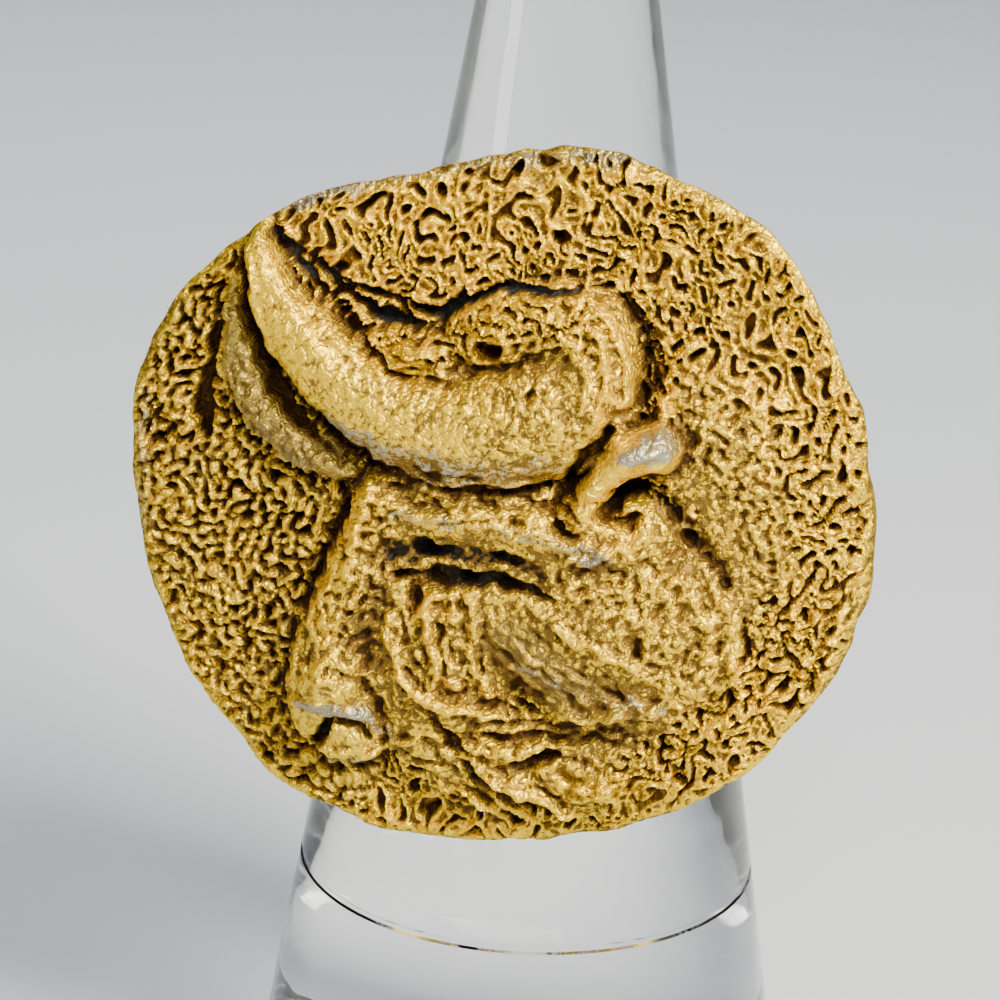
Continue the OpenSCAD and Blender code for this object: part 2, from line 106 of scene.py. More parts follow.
# Smaller folds that stand on the forms, in the same columns; like ones share a name, a list for each
FOLDS = {
    "jaw": (1.5, [
        (-3.1, -11, 1.2, 0.3), (-0.2, -11.7, 1.3, 0.5), (3.9, -10.7, 1.3, 0.5), (8.4, -10.1, 1.4, 0.5),
        (11.8, -7.5, 1.4, 0.3)]),
    "brow line": (1.5, [
        (-5.6, -0.6, 0.7, 0.2), (-2.8, -1.1, 0.8, 0.3), (0.8, -0.9, 0.9, 0.4), (3.9, -1.7, 0.8, 0.4),
        (6, -2, 0.7, 0.4), (7.7, -1, 0.5, 0.2)]),
    "horn edge": (1.2, [
        (-13.3, 11.4, 0.3, 0.2), (-12.9, 9.2, 0.3, 0.3), (-12.2, 7.2, 0.3, 0.3), (-11.2, 5, 0.3, 0.3),
        (-9.9, 3, 0.3, 0.3), (-8.3, 1.3, 0.3, 0.2)]),
    "horn lip": (1.2, [
        (-11.9, 12.7, 0.3, 0.2), (-10.8, 10.8, 0.3, 0.3), (-9.7, 8.9, 0.3, 0.4), (-8, 7.3, 0.3, 0.4),
        (-5.9, 6, 0.3, 0.2)]),
    "inner horn lip": (1.2, [
        (-12.4, 12, 0.2, 0.1), (-11.5, 9.9, 0.3, 0.2), (-10.3, 8, 0.3, 0.2), (-8.6, 6.5, 0.3, 0.1)]),
    "mound": (1, [(-6.1, 6.5, 0.5, 0.3), (-4.8, 7.3, 0.7, 0.6), (-3.2, 7.7, 0.5, 0.3)]),
    "ring of the hole": (1, [
        (-1.7, 7.4, 0.2, 0.3), (-1.4, 8.3, 0.3, 0.4), (-0.6, 8.7, 0.3, 0.5), (0.2, 8.3, 0.3, 0.5),
        (0.4, 7.4, 0.2, 0.3)]),
    "horn top line": (1, [
        (-5.3, 6.3, 0.2, 0.2), (-3.6, 6.3, 0.2, 0.2), (-2, 6.8, 0.2, 0.2), (0.6, 7.5, 0.2, 0.2)]),
    "poll folds": (1.2,
        [(2.3, 9.3, 0.2, 0.1), (3.6, 8.5, 0.3, 0.3), (4.3, 7.1, 0.3, 0.4), (4.2, 5.4, 0.2, 0.2)],
        [(3.2, 10.2, 0.2, 0.1), (4.5, 9.3, 0.3, 0.4), (5.2, 7.8, 0.3, 0.5), (5.2, 6, 0.3, 0.4),
         (4.5, 4.3, 0.3, 0.2)],
        [(4, 10.7, 0.2, 0.2), (5.4, 9.4, 0.3, 0.5), (6.2, 7.8, 0.3, 0.6), (6.2, 5.9, 0.3, 0.5),
         (5.5, 4.2, 0.3, 0.3)]),
    "drop": (0.8, [(7.8, 6, 0.3, 0.4), (8.1, 4.7, 0.4, 0.7)]),
    "strata below the horn": (1.2,
        [(-6.5, 1.6, 0.2, 0.2), (-3.4, 0.9, 0.3, 0.3), (0.1, 0.9, 0.3, 0.3), (2.6, 1.5, 0.2, 0.1)],
        [(-5.7, 0.5, 0.2, 0.2), (-2.4, 0.2, 0.3, 0.3), (1.2, 0.3, 0.3, 0.3), (3.4, 0.8, 0.2, 0.1)],
        [(-6.3, -0.5, 0.2, 0.1), (-3.3, -0.7, 0.3, 0.3), (0.2, -0.5, 0.3, 0.3), (3.7, -0.3, 0.3, 0.2),
         (6.3, -0.7, 0.2, 0.1)]),
    "ear crescent": (1, [(3.4, -2.6, 0.3, 0.2), (5, -2.3, 0.4, 0.4), (6.4, -1.4, 0.3, 0.2)]),
    "bridge": (1, [
        (-6.3, 0.4, 0.4, 0.2), (-6.9, -1.6, 0.4, 0.4), (-7.3, -3.6, 0.4, 0.4), (-7.5, -4.9, 0.3, 0.2)]),
    "nose lines": (1.2,
        [(-7.6, -3.8, 0.2, 0.2), (-8.8, -6, 0.3, 0.3), (-9.7, -8, 0.3, 0.3), (-10.3, -10.9, 0.3, 0.2)],
        [(-6.4, -4.3, 0.3, 0.2), (-7.7, -6.9, 0.3, 0.3), (-8.5, -9, 0.3, 0.2)]),
    "face folds": (1.2,
        [(-3, -4.8, 0.3, 0.3), (-3.2, -6.6, 0.4, 0.5), (-2.5, -8.8, 0.3, 0.4), (-2.8, -10.1, 0.2, 0.2)],
        [(-2, -4.7, 0.3, 0.3), (-1.8, -6.3, 0.4, 0.4), (-2.1, -7.9, 0.2, 0.2), (-1.5, -9.8, 0.4, 0.3)],
        [(-1, -4.7, 0.3, 0.3), (-0.6, -6.4, 0.4, 0.5), (-0.9, -8.3, 0.3, 0.3), (0, -10.3, 0.3, 0.3)],
        [(-4.8, -5.6, 0.3, 0.2), (-5.1, -7.7, 0.4, 0.4), (-4.3, -9.8, 0.3, 0.2)]),
    "wedge": (1, [
        (-0.1, -5.6, 0.2, 0.1), (1.2, -7.4, 0.9, 0.2), (3.6, -9.1, 1.2, 0.2), (7, -10.6, 0.6, 0.1)]),
    "cheek strands": (1.2,
        [(0.4, -8, 0.2, 0.2), (2.6, -9.4, 0.4, 0.4), (5.5, -11.1, 0.3, 0.2)],
        [(0.3, -7, 0.2, 0.1), (1.8, -8.2, 0.3, 0.25), (4.4, -10, 0.2, 0.1)],
        [(0.4, -6.2, 0.2, 0.1), (3, -8.3, 0.3, 0.3), (7, -10.9, 0.3, 0.2)],
        [(1.4, -6.4, 0.2, 0.1), (3.8, -8.1, 0.3, 0.3), (8, -10.2, 0.2, 0.1)],
        [(1.9, -5, 0.2, 0.1), (5.1, -6.7, 0.4, 0.3), (8.9, -8.7, 0.3, 0.1)]),
    "cheek edges": (1.2,
        [(7.8, -2.1, 0.3, 0.1), (10, -3.5, 0.4, 0.3), (11, -5.9, 0.4, 0.3), (10.7, -8.8, 0.3, 0.1)],
        [(8.7, -0.9, 0.3, 0.1), (11, -2.8, 0.4, 0.3), (12.3, -5.8, 0.4, 0.3), (12, -9.2, 0.3, 0.1)]),
    "nostril wing": (0.8, [
        (-9.9, -11.8, 0.3, 0.2), (-8.7, -11.5, 0.4, 0.4), (-7.2, -11.7, 0.4, 0.5), (-6, -12, 0.4, 0.5),
        (-5.4, -12.6, 0.4, 0.4), (-4.9, -13.3, 0.3, 0.2)]),
    "lip": (0.8, [(-9.1, -14.3, 0.3, 0.3), (-7.9, -14.5, 0.5, 0.6), (-6.8, -14.1, 0.3, 0.3)]),
    "lip line": (1, [
        (-10.2, -14.8, 0.2, 0.2), (-8.5, -15.1, 0.3, 0.4), (-6.4, -14.7, 0.3, 0.4), (-5, -13.8, 0.3, 0.4),
        (-3.6, -13, 0.2, 0.3)]),
    "nose tip": (0.8, [(-9.2, -10.4, 0.9, 0.4), (-8, -10.1, 1.4, 0.7), (-6.7, -10.6, 1.1, 0.5)]),
    "jaw strands": (1.2, [
        (0.7, -10.3, 0.3, 0.1), (3.8, -10.6, 0.4, 0.3), (7.9, -10.3, 0.4, 0.3), (11, -11, 0.3, 0.1)]),
    "jaw strand 2": (1, [
        (-4.5, -9.5, 0.3, 0.3), (-3, -10.6, 0.4, 0.5), (-1.4, -11, 0.3, 0.5), (0.9, -11.2, 0.3, 0.4),
        (3.7, -11.1, 0.4, 0.4), (6.9, -10.5, 0.3, 0.3)]),
    "strand below it": (1, [(-0.4, -12.1, 0.2, 0.2), (1.6, -11.8, 0.3, 0.4), (3.7, -11.8, 0.2, 0.3)]),
    "jaw bone": (0.8, [
        (-1.7, -13.1, 0.3, 0.3), (0.2, -14.5, 0.4, 0.6), (1.9, -15.3, 0.6, 0.8), (4.4, -16.6, 0.4, 0.5)]),
    "leaf": (0.8, [(-0.9, -13.1, 0.3, 0.3), (1.4, -13, 0.7, 0.6), (3.7, -12.4, 0.3, 0.3)]),
    "facet": (0.9, [(4.6, -15.2, 0.5, 0.3), (6.1, -14.7, 0.9, 0.6), (7.3, -14.1, 0.4, 0.3)]),
    "lower ridge": (0.9, [(-2.6, -15.6, 0.3, 0.3), (-0.5, -16.2, 0.4, 0.6), (1.3, -17.1, 0.3, 0.4)]),
    "lower leaf": (0.9, [(10.5, -11.6, 0.3, 0.3), (11.7, -10.6, 0.4, 0.5), (12.6, -9.5, 0.3, 0.3)]),
    "neck ridges": (1,
        [(16.2, -3.6, 0.2, 0.2), (16.2, -5.9, 0.3, 0.4), (15.7, -7.7, 0.3, 0.4), (14.3, -9.4, 0.3, 0.2)],
        [(17.2, -3.2, 0.2, 0.2), (17.2, -5.8, 0.3, 0.4), (16.6, -8, 0.3, 0.4), (15.3, -9.9, 0.2, 0.2)],
        [(15, -3.4, 0.2, 0.2), (15.2, -5.5, 0.3, 0.3), (14.6, -7.4, 0.3, 0.3), (13.3, -8.9, 0.2, 0.1)]),
    "neck leaf": (1, [(11.8, -5.8, 0.3, 0.2), (12.5, -7.9, 0.4, 0.4), (13, -10, 0.3, 0.2)]),
    "neck fold": (1, [(10.9, -11.3, 0.4, 0.2), (12.7, -10.3, 0.7, 0.5), (14.4, -8.3, 0.4, 0.2)]),
    "rear ridge": (1, [
        (-14.2, 5.3, 0.2, 0.1), (-13.2, 2.8, 0.3, 0.2), (-11.3, 1.2, 0.3, 0.2), (-9.1, 0.5, 0.2, 0.1)]),
}

# Gaps and holes between the forms, in the same columns with their depth
CUTS = {
    "horn gap": (1, [
        (-13.6, 10.4, 0.3, 0.7), (-13, 7.4, 0.5, 1), (-12.1, 5.2, 0.55, 1), (-10.9, 3.4, 0.45, 1),
        (-9.6, 2.2, 0.35, 0.7), (-8.1, 1.1, 0.2, 0.4)]),
    "pool": (0.8, [
        (-12.4, 12.3, 0.3, 0.6), (-10.6, 10.9, 0.5, 1.1), (-8.8, 9.7, 0.75, 1.5), (-7, 9.1, 0.85, 1.6),
        (-5.2, 8.8, 0.75, 1.6), (-3.6, 8.9, 0.4, 1.4), (-2.2, 9.7, 0.25, 1.1), (-0.5, 10.5, 0.2, 1),
        (1.5, 10.8, 0.2, 0.9), (3.2, 10.9, 0.2, 0.7)]),
    "horn top": (1, [
        (-10.4, 11, 0.2, 0.4), (-9.1, 9.2, 0.25, 0.7), (-7.6, 7.8, 0.25, 0.7), (-6.2, 6.8, 0.25, 0.7),
        (-5, 6.2, 0.25, 0.5), (-3.6, 6, 0.25, 0.3), (-2, 6.4, 0.2, 0.3), (0.6, 7.2, 0.2, 0.3),
        (2.2, 8, 0.2, 0.2)]),
    "horn pits": (1,
        [(1.6, 6.2, 0.25, 0.4), (1.3, 5.8, 0.25, 0.5)],
        [(3.7, 4.5, 0.2, 0.3), (3.9, 4.1, 0.25, 0.4)]),
    "end of the poll": (1, [(5.6, 10.6, 0.3, 0.4), (6.9, 8.8, 0.4, 0.6), (7.2, 6.7, 0.5, 0.9)]),
    "ear gap": (1, [
        (2.9, -0.1, 0.3, 0.8), (3.4, 1.6, 0.3, 1), (4.6, 3.2, 0.3, 1.1), (5.9, 5, 0.3, 1.2),
        (6.8, 6.2, 0.4, 0.9)]),
    "mouth": (1, [
        (-2.6, -11.4, 0.3, 0.5), (-1.9, -12.7, 0.4, 0.9), (-1.1, -13.6, 0.4, 0.9), (-0.5, -14.6, 0.3, 0.7),
        (1, -15.9, 0.3, 0.6), (2.5, -16.8, 0.2, 0.4)]),
    "mouth hole": (1, [(1.5, -14, 0.3, 0.8), (2.5, -13.6, 0.5, 1.3), (3.7, -13.1, 0.3, 0.9)]),
    "curl": (1, [(9.7, -13.2, 0.2, 0.5), (9.9, -13.8, 0.4, 0.9)]),
    "slot": (1, [
        (-15, 9.2, 0.2, 0.4), (-15.1, 6.9, 0.3, 0.8), (-15.2, 5.4, 0.4, 1.1), (-15.5, 4.1, 0.5, 1.4),
        (-15.7, 2.9, 0.8, 1.7), (-15.5, 1.7, 0.5, 1.3)]),
    "poll hole": (0.8, [(-0.9, 7.75, 0.5, 1.4), (-0.4, 7.7, 0.5, 1.4)]),
    "ear hollow": (0.8, [(5.4, 0.1, 0.6, 1.6), (6, 0.8, 0.6, 1.9), (7.1, 1.2, 0.4, 1.3)]),
    "ear hollow 2": (1, [(5.6, -0.3, 0.3, 0.7), (6.4, -0.4, 0.4, 0.9), (7.1, -0.2, 0.3, 0.6)]),
    "ear pits": (1, [
        (7.5, 1.3, 0.5, 0.3), (8.4, 0.7, 0.8, 0.35), (9.2, -0.4, 0.5, 0.3), (10.2, -1.5, 0.9, 0.4),
        (11.3, -2.7, 0.5, 0.3)]),
    "small ear pits": (1,
        [(8.2, 1, 0.2, 0.6), (8.6, 0.5, 0.3, 0.7)],
        [(9.5, -0.9, 0.2, 0.6), (9.9, -0.9, 0.3, 0.7)],
        [(10.1, -1.9, 0.3, 0.7), (10.6, -1.9, 0.2, 0.6)],
        [(11.6, -3, 0.25, 0.7), (11.8, -3.2, 0.25, 0.6)]),
    "knob gap": (1, [(3, 0.2, 0.3, 0.8), (3.2, -0.7, 0.3, 0.8), (4.2, -1.1, 0.3, 0.5)]),
    "eye corner": (1, [(-3.9, -4.4, 0.5, 1.2), (-3.8, -5.2, 0.4, 1), (-3.9, -6.2, 0.2, 0.5)]),
    "eye slit": (0.8, [
        (-4.8, -4.4, 0.3, 0.9), (-3.3, -4.3, 0.6, 1.3), (-2, -4.1, 0.5, 1.3), (-0.7, -4.1, 0.6, 1.4),
        (0.6, -4.2, 0.5, 1.3), (1.9, -4.3, 0.4, 1.1), (3.1, -4.5, 0.2, 0.5)]),
    "eye spots": (0.9,
        [(-3.7, -2.8, 0.5, 1), (-3, -2.7, 0.6, 1.4), (-2.3, -2.9, 0.4, 1)],
        [(0.2, -2.8, 0.4, 1), (0.8, -2.7, 0.6, 1.4), (1.4, -2.9, 0.4, 0.9)]),
    "eye haze": (1.5, [(-4.8, -3.3, 1, 0.3), (-1.2, -3.1, 1.3, 0.35), (2.4, -3.5, 1, 0.3)]),
    "cheek pits": (1,
        [(7.2, -6.2, 0.3, 0.5), (7.6, -6.9, 0.4, 0.9), (7.8, -7.4, 0.2, 0.5)],
        [(6.1, -9, 0.2, 0.4), (6.5, -9.3, 0.3, 0.6), (7, -9.6, 0.2, 0.4)]),
    "nostril": (0.6, [(-8.9, -14, 0.3, 1.1), (-8.5, -13.2, 0.4, 1.7), (-8.1, -12.5, 0.4, 1.5)]),
    "under the wing": (0.8, [(-7.8, -12.3, 0.3, 0.6), (-6.8, -12.5, 0.3, 0.6), (-5.9, -13.3, 0.3, 0.6)]),
    "nose crease": (1, [(-7.7, -9.3, 0.2, 0.3), (-6.2, -10.6, 0.3, 0.5), (-5.1, -13, 0.2, 0.4)]),
    "neck pit": (1, [(12.2, -8.5, 0.3, 0.8), (12.3, -9.1, 0.3, 0.8)]),
    "neck slot": (1, [(12.8, -5.1, 0.2, 0.5), (13, -6.5, 0.3, 0.7)]),
    "nose side": (1.2, [
        (-8, -0.2, 0.4, 0.5), (-8.2, -2, 0.5, 0.8), (-8.9, -4.2, 0.5, 0.7), (-9.9, -6.4, 0.4, 0.4)]),
    "under the poll": (1, [(7.1, 2.5, 0.3, 0.4), (8, 3.3, 0.3, 0.4)]),
    "bone side": (1, [(-0.6, -15, 0.2, 0.4), (1.8, -16, 0.3, 0.5), (3.9, -16.8, 0.2, 0.3)]),
    "jaw side": (1, [
        (-1.5, -12.4, 0.2, 0.3), (1.9, -12.4, 0.3, 0.4), (5.5, -12.2, 0.3, 0.4), (8.5, -12.2, 0.2, 0.2)]),
}

# Thin bright strands that cross the gap above the horn
STRANDS = {
    "strands": (0.8,
        [(-10.8, 11.2, 0.2, 0.8), (-9.4, 9.8, 0.25, 1.3), (-8.1, 9, 0.25, 1.4), (-7.2, 8.3, 0.2, 0.9)],
        [(-8.7, 10, 0.2, 0.9), (-7.3, 9.4, 0.25, 1.5), (-6.2, 9.2, 0.25, 1.5), (-5.5, 8.5, 0.2, 1)],
        [(-5.4, 9.2, 0.2, 0.9), (-4.9, 8.7, 0.25, 1.4), (-3.8, 8.5, 0.2, 0.9)]),
}

# Where the metal is grey, partly from wear of the plating and partly as painted shade and reflection on the
# horn's underside and the ear, and where it is a deeper orange; the last column is strength
GREY_WEAR_AND_SHADE = {
    "horn underside": (1, [
        (-8.4, 3.2, 1, 0.8), (-4.8, 1.9, 1.4, 0.9), (0, 1.7, 1.5, 0.8), (3.4, 2.5, 1, 0.6)]),
    "ear": (1, [(6.4, 3.4, 0.6, 0.9), (8.2, 4, 1.1, 1.4)]),
    "nostril wing": (0.6, [
        (-9.6, -11.7, 0.4, 1.1), (-7.6, -11.6, 0.5, 1.4), (-6, -12, 0.5, 1.4), (-5.1, -13.1, 0.4, 1.1)]),
    "lip": (1, [(-8.7, -15.1, 0.4, 0.8), (-5.5, -14.6, 0.4, 0.8)]),
    "brow": (1, [(-5, -1, 0.8, 0.6), (1, -1, 0.9, 0.5), (5.6, -2.2, 0.9, 0.9)]),
    "cheek": (1, [(1.6, -8.6, 0.8, 0.6), (8.6, -9.8, 1, 0.6)]),
    "rear horn": (1, [(-12.4, 2.6, 0.8, 0.5), (-10, 0.8, 0.8, 0.6)]),
    "rim left": (1, [(-18.8, 3, 0.9, 0.6), (-18.8, -4, 0.9, 0.6)]),
    "rim top": (1, [(-12, 13.6, 0.8, 0.8), (-4, 16.2, 0.8, 0.7), (6, 17.6, 0.8, 0.7)]),
}
WARM = {
    "hole": (1, [(-1.2, 7.4, 0.9, 1), (-0.2, 8, 0.9, 1)]),
    "mound": (1, [(-5.8, 7.4, 0.8, 1.2), (-4.4, 6.4, 0.9, 1.3)]),
    "drop": (1, [(7.9, 6.8, 0.6, 1.2), (8.3, 5.4, 0.5, 1.2)]),
    "facet": (1, [(4.6, -14.8, 1.2, 0.5), (7.4, -14.4, 1.2, 0.6)]),
    "neck": (1, [(11, -11.6, 1.2, 0.4), (14.4, -9, 1.2, 0.4)]),
}

# Where the ground is worm-like: rows of across, up, half width and strength
WORMY = [(-16, 5.5, 5, 1), (-15.5, -2, 7.5, 1.2), (-13.5, -8.5, 6, 1.2), (-10, -15, 5, 1)]

# Where the poll and the forelock are pitted, in the same columns
POLL = [(-8.2, 8, 0.7, 0.8), (-6, 7.4, 1.1, 1), (-3, 7.8, 1.1, 1), (-0.6, 9.2, 1.2, 1), (2.6, 9.6, 1.4, 1)]

# Where the cheek is smooth and olive, in the same columns
SATIN = [(1, -7, 1.6, 1), (3.4, -9, 1.8, 1), (7, -10.4, 1.2, 0.8)]

# Where the metal is smooth, and where its tone is lowered: painted shade under and above the horns, on the
# rear horn, round the eye, brow and nose, in the nostril, ear pits and mouth and on the left ground, with
# thicker patina in places; the last column is strength
SMOOTH = {
    "ear": (0.6, [(5.6, 2.4, 0.9, 0.5), (6.4, 3.2, 1.2, 0.7), (7.8, 3.6, 1.6, 1)]),
    "muzzle": (0.8, [(-9.4, -11, 1.2, 0.7), (-7.2, -11.4, 1.4, 0.7)]),
    "cheek": (1, [(1, -7, 1.6, 0.6), (3.4, -9, 1.8, 0.6), (7, -10.4, 1.2, 0.4)]),
    "horn": (1, [(-12.4, 9.6, 1.4, 0.5), (-9.6, 6.2, 2, 0.6), (-2, 4.2, 2.6, 0.6)]),
}
SHADE_AND_PATINA = {
    "eye": (0.8, [(-5, -3.3, 1.4, 2.2), (-1.5, -3.2, 1.9, 2.8), (2.2, -3.8, 1.2, 1.8)]),
    "nostril": (0.8, [(-8.9, -14, 0.5, 1.6), (-8.3, -12.8, 0.6, 2.4)]),
    "ear pits": (0.8, [(8.4, 0.6, 0.9, 1.4), (10.1, -1.4, 1, 1.6), (11.8, -3, 0.8, 0.8)]),
    "brow": (1, [(-6, -0.6, 1.2, 0.5), (0, -1, 1.2, 0.5), (5, -1, 1, 0.4)]),
    "below the horn": (0.8, [(-6.4, 0.6, 1, 0.6), (0, 0.4, 1.1, 0.5), (4, 0.2, 1, 0.5)]),
    "horn underside": (1, [
        (-9, 3.2, 0.8, 0.4), (-4.6, 1.4, 1, 0.7), (-1, 1.1, 1, 0.7), (2.8, 1.8, 0.9, 0.6)]),
    "cheek": (1, [(1, -7.4, 1.6, 0.9), (4, -9.2, 2, 1), (8, -10.4, 1.4, 0.7)]),
    "jaw": (1, [(-2, -11.6, 1.4, 0.8), (4, -12.4, 1.6, 0.8), (9, -11.6, 1.4, 0.6)]),
    "nose": (0.8, [(-5.4, -1.8, 1.2, 1), (-6.3, -5.4, 1.7, 1.3), (-6.4, -8.6, 1.5, 1)]),
    "rear horn": (0.8, [(-14, 8, 1, 1), (-12.6, 3.9, 1.4, 1.4), (-9.2, 1.3, 1.2, 1.3)]),
    "left ground": (0.8, [
        (-16.6, 6, 2.4, 0.5), (-14.8, 0.5, 3.4, 0.7), (-11.6, -3.4, 2.4, 0.7), (-12.6, -9, 2.6, 0.5)]),
    "mouth": (0.8, [(-3.4, -11.8, 1.2, 0.8), (-3, -14.2, 1.6, 0.6), (2.4, -13.8, 1.2, 0.5)]),
    "above the horn": (0.8, [(-10, 11.2, 1.2, 0.9), (-6.4, 9.4, 1.4, 1), (-2.6, 8.4, 1, 0.7)]),
}

# Forms that fine lines run along, in the same columns
STREAKS = {
    "horn underside": [
        (-11.4, 5.6, 0.7, 0.3), (-8, 3, 1.3, 1), (-4.6, 2, 1.5, 1), (-1.4, 1.7, 1.6, 1), (1.8, 2.1, 1.5, 1),
        (4.6, 3.8, 1.2, 0.5)],
    "cheek": [(-1, -5.4, 0.8, 0.6), (1, -7.4, 1.8, 1), (4, -9.4, 2, 1), (8.4, -10.8, 1.4, 0.5)],
    "jaw": [(-3.6, -10.6, 0.6, 0.6), (0, -11.4, 0.8, 0.8), (4.6, -11.4, 0.9, 0.8), (9, -10.9, 0.8, 0.4)],
    "rear horn": [(-14, 8, 0.9, 0.6), (-12.8, 4, 1.3, 0.9), (-9.4, 1.3, 1, 0.8)],
    "muzzle": [(-10, -11.6, 0.8, 0.6), (-8.4, -10.4, 1.2, 1), (-6.2, -11.4, 1, 0.6)],
}

# The grain of the head: direction in degrees, pitch in mm, stretch along it, depth in mm, then rows
GRAIN = {
    "below the horn": (-2, 0.6, 4, 0.36, [(-7, 0.6, 1.2, 1), (0, 0.2, 1.5, 1), (6, 0.4, 1.2, 1)]),
    "nose": (70, 0.65, 1.4, 0.34, [(-6.2, -0.5, 1.6, 1), (-7.4, -4.7, 2, 1), (-8.5, -9, 2, 1)]),
    "under the eye": (98, 0.52, 2.6, 0.3, [(-3.4, -5.8, 2.4, 1), (-2.2, -9.5, 2.4, 1)]),
    "cheek": (-37, 0.6, 3.2, 0.16, [(2.6, -6.4, 2.4, 1), (6.2, -9.4, 2.4, 1)]),
    "cheek side": (50, 0.6, 1.5, 0.22, [(4.6, -3.4, 2.2, 1), (8, -4, 2.8, 1), (10, -7, 2.4, 1)]),
    "jaw": (-3, 0.6, 3, 0.24, [(-3, -11.2, 1.6, 1), (4, -11.3, 1.6, 1), (10, -10.6, 1.8, 1)]),
    "throat": (-24, 0.75, 3, 0.3, [(-2.5, -14, 2.4, 1), (3, -15, 2.8, 1), (9, -13.6, 2.8, 1)]),
    "muzzle": (-35, 0.5, 2.6, 0.1, [(-8.4, -10.6, 1.6, 1), (-6.4, -11.4, 1.2, 1)]),
    "front horn": (-40, 0.5, 1.3, 0.08, [(-12, 10, 1.6, 1), (-7.6, 4.9, 2.4, 1), (2.2, 4.6, 3.6, 1)]),
    "poll": (20, 0.56, 1.3, 0.4, [(-6, 6.9, 1.2, 1), (-1.6, 8.2, 1.8, 1), (3.6, 9.6, 1.8, 1)]),
    "rear horn": (-60, 0.55, 2.6, 0.18, [(-14.2, 8, 1.2, 1), (-12.8, 3.6, 1.4, 1), (-9.5, 1.2, 1.2, 1)]),
}

# Higher powers make the main forms meet in a sharper line
MEETING = 5
# Usual reach of the rim, how far it stays inside the outline, and the thinnest metal, in millimetres
MEAN_REACH = 19
RIM_INSET = 0.12
THINNEST = 0.75
# Rings of the wall behind the rim: share of the outline, and share of the rim's thickness behind it
WALL = [(1.0, 0.55), (0.995, 0.3), (0.985, 0.08), (0.97, 0.0)]
# Marks of the wall and the back, which the relief doesn't reach
REST = {"cavity": 0.58, "head": 0.3, "smooth": 0.5, "grey_wear_and_shade": 0.4, "dull": 0.5}


def smooth_rows(rows, steps=7):
    """More rows on a smooth curve through a form's rows."""
    q = np.array(rows, float)
    out = []
    for i in range(len(q) - 1):
        a, b, c, d = q[max(i - 1, 0)], q[i], q[i + 1], q[min(i + 2, len(q) - 1)]
        for t in np.arange(steps) / steps:
            out.append(0.5 * (
                2 * b + (c - a) * t + (2 * a - 5 * b + 4 * c - d) * t ** 2
                + (3 * b - a - 3 * c + d) * t ** 3
            ))
    return np.array(out + [q[-1]])


def form_height(u, w, roundness, rows):
    """Height that one form gives over each point (u, w), all in millimetres."""
    out = np.zeros_like(u)
    rows = smooth_rows(rows)
    reach = rows[:, 2].max()
    low = rows[:, :2].min(axis=0) - reach
    high = rows[:, :2].max(axis=0) + reach
    near = np.flatnonzero((u > low[0]) & (u < high[0]) & (w > low[1]) & (w < high[1]))
    un, wn, best = u[near], w[near], np.zeros(len(near))
    for (u0, w0, r0, h0), (u1, w1, r1, h1) in zip(rows, rows[1:]):
        du, dw = u1 - u0, w1 - w0
        t = np.clip(((un - u0) * du + (wn - w0) * dw) / (du * du + dw * dw), 0, 1)
        off = (un - u0 - t * du) ** 2 + (wn - w0 - t * dw) ** 2
        inside = np.clip(1 - off / (r0 + t * (r1 - r0)) ** 2, 0, 1)
        best = np.maximum(best, (h0 + t * (h1 - h0)) * inside ** roundness)
    out[near] = best
    return out


def all_heights(u, w, forms):
    """One row of heights for each form, or for each line of rows where a form has several."""
    return np.array([
        form_height(u, w, roundness, rows) for roundness, *lines in forms.values() for rows in lines
    ])


def followed(u, w, forms, apart=7.3):
    """Places across and along the form that shows most at each point, and how much it shows."""
    across, along, most = np.zeros_like(u), np.zeros_like(u), np.zeros_like(u)
    for start, rows in enumerate(forms.values()):
        run = start * apart
        rows = smooth_rows(rows, 4)
        for (u0, w0, r0, h0), (u1, w1, r1, h1) in zip(rows, rows[1:]):
            du, dw = u1 - u0, w1 - w0
            length = math.hypot(du, dw)
            t = np.clip(((u - u0) * du + (w - w0) * dw) / length ** 2, 0, 1)
            off_u, off_w = u - u0 - t * du, w - w0 - t * dw
            off = np.hypot(off_u, off_w)
            weight = (h0 + t * (h1 - h0)) * np.clip(1 - (off / (r0 + t * (r1 - r0))) ** 2, 0, 1)
            here = weight > most
            most[here] = weight[here]
            across[here] = (np.sign(off_w * du - off_u * dw) * off)[here]
            along[here] = (run + t * length)[here]
            run += length
    return across, along, most


def ease(x, low, high):
    """0 below low, 1 above high and a smooth step between."""
    t = np.clip((x - low) / (high - low), 0, 1)
    return t * t * (3 - 2 * t)


def between(table, x, y, soft=False):
    """Value of a table that repeats, at places between its cells."""
    ix, iy = np.floor(x).astype(int), np.floor(y).astype(int)
    fx, fy = x - ix, y - iy
    if soft:
        fx, fy = fx * fx * (3 - 2 * fx), fy * fy * (3 - 2 * fy)
    ix, iy = ix % len(table), iy % len(table)
    jx, jy = (ix + 1) % len(table), (iy + 1) % len(table)
    low = table[ix, iy] * (1 - fx) + table[jx, iy] * fx
    high = table[ix, jy] * (1 - fx) + table[jx, jy] * fx
    return low * (1 - fy) + high * fy


def clouds(u, w, pitch, seed):
    """Smooth random field from -1 to 1 whose patches are pitch millimetres apart."""
    return between(np.random.RandomState(seed).rand(64, 64) * 2 - 1, u / pitch, w / pitch, soft=True)


def bent(u, w, *waves):
    """Places pushed about by waves: reach and pitch in millimetres, then a seed across and up."""
    uu, ww = u, w
    for reach, pitch, seed_across, seed_up in waves:
        uu = uu + reach * clouds(u, w, pitch, seed_across)
        ww = ww + reach * clouds(u, w, pitch, seed_up)
    return uu, ww


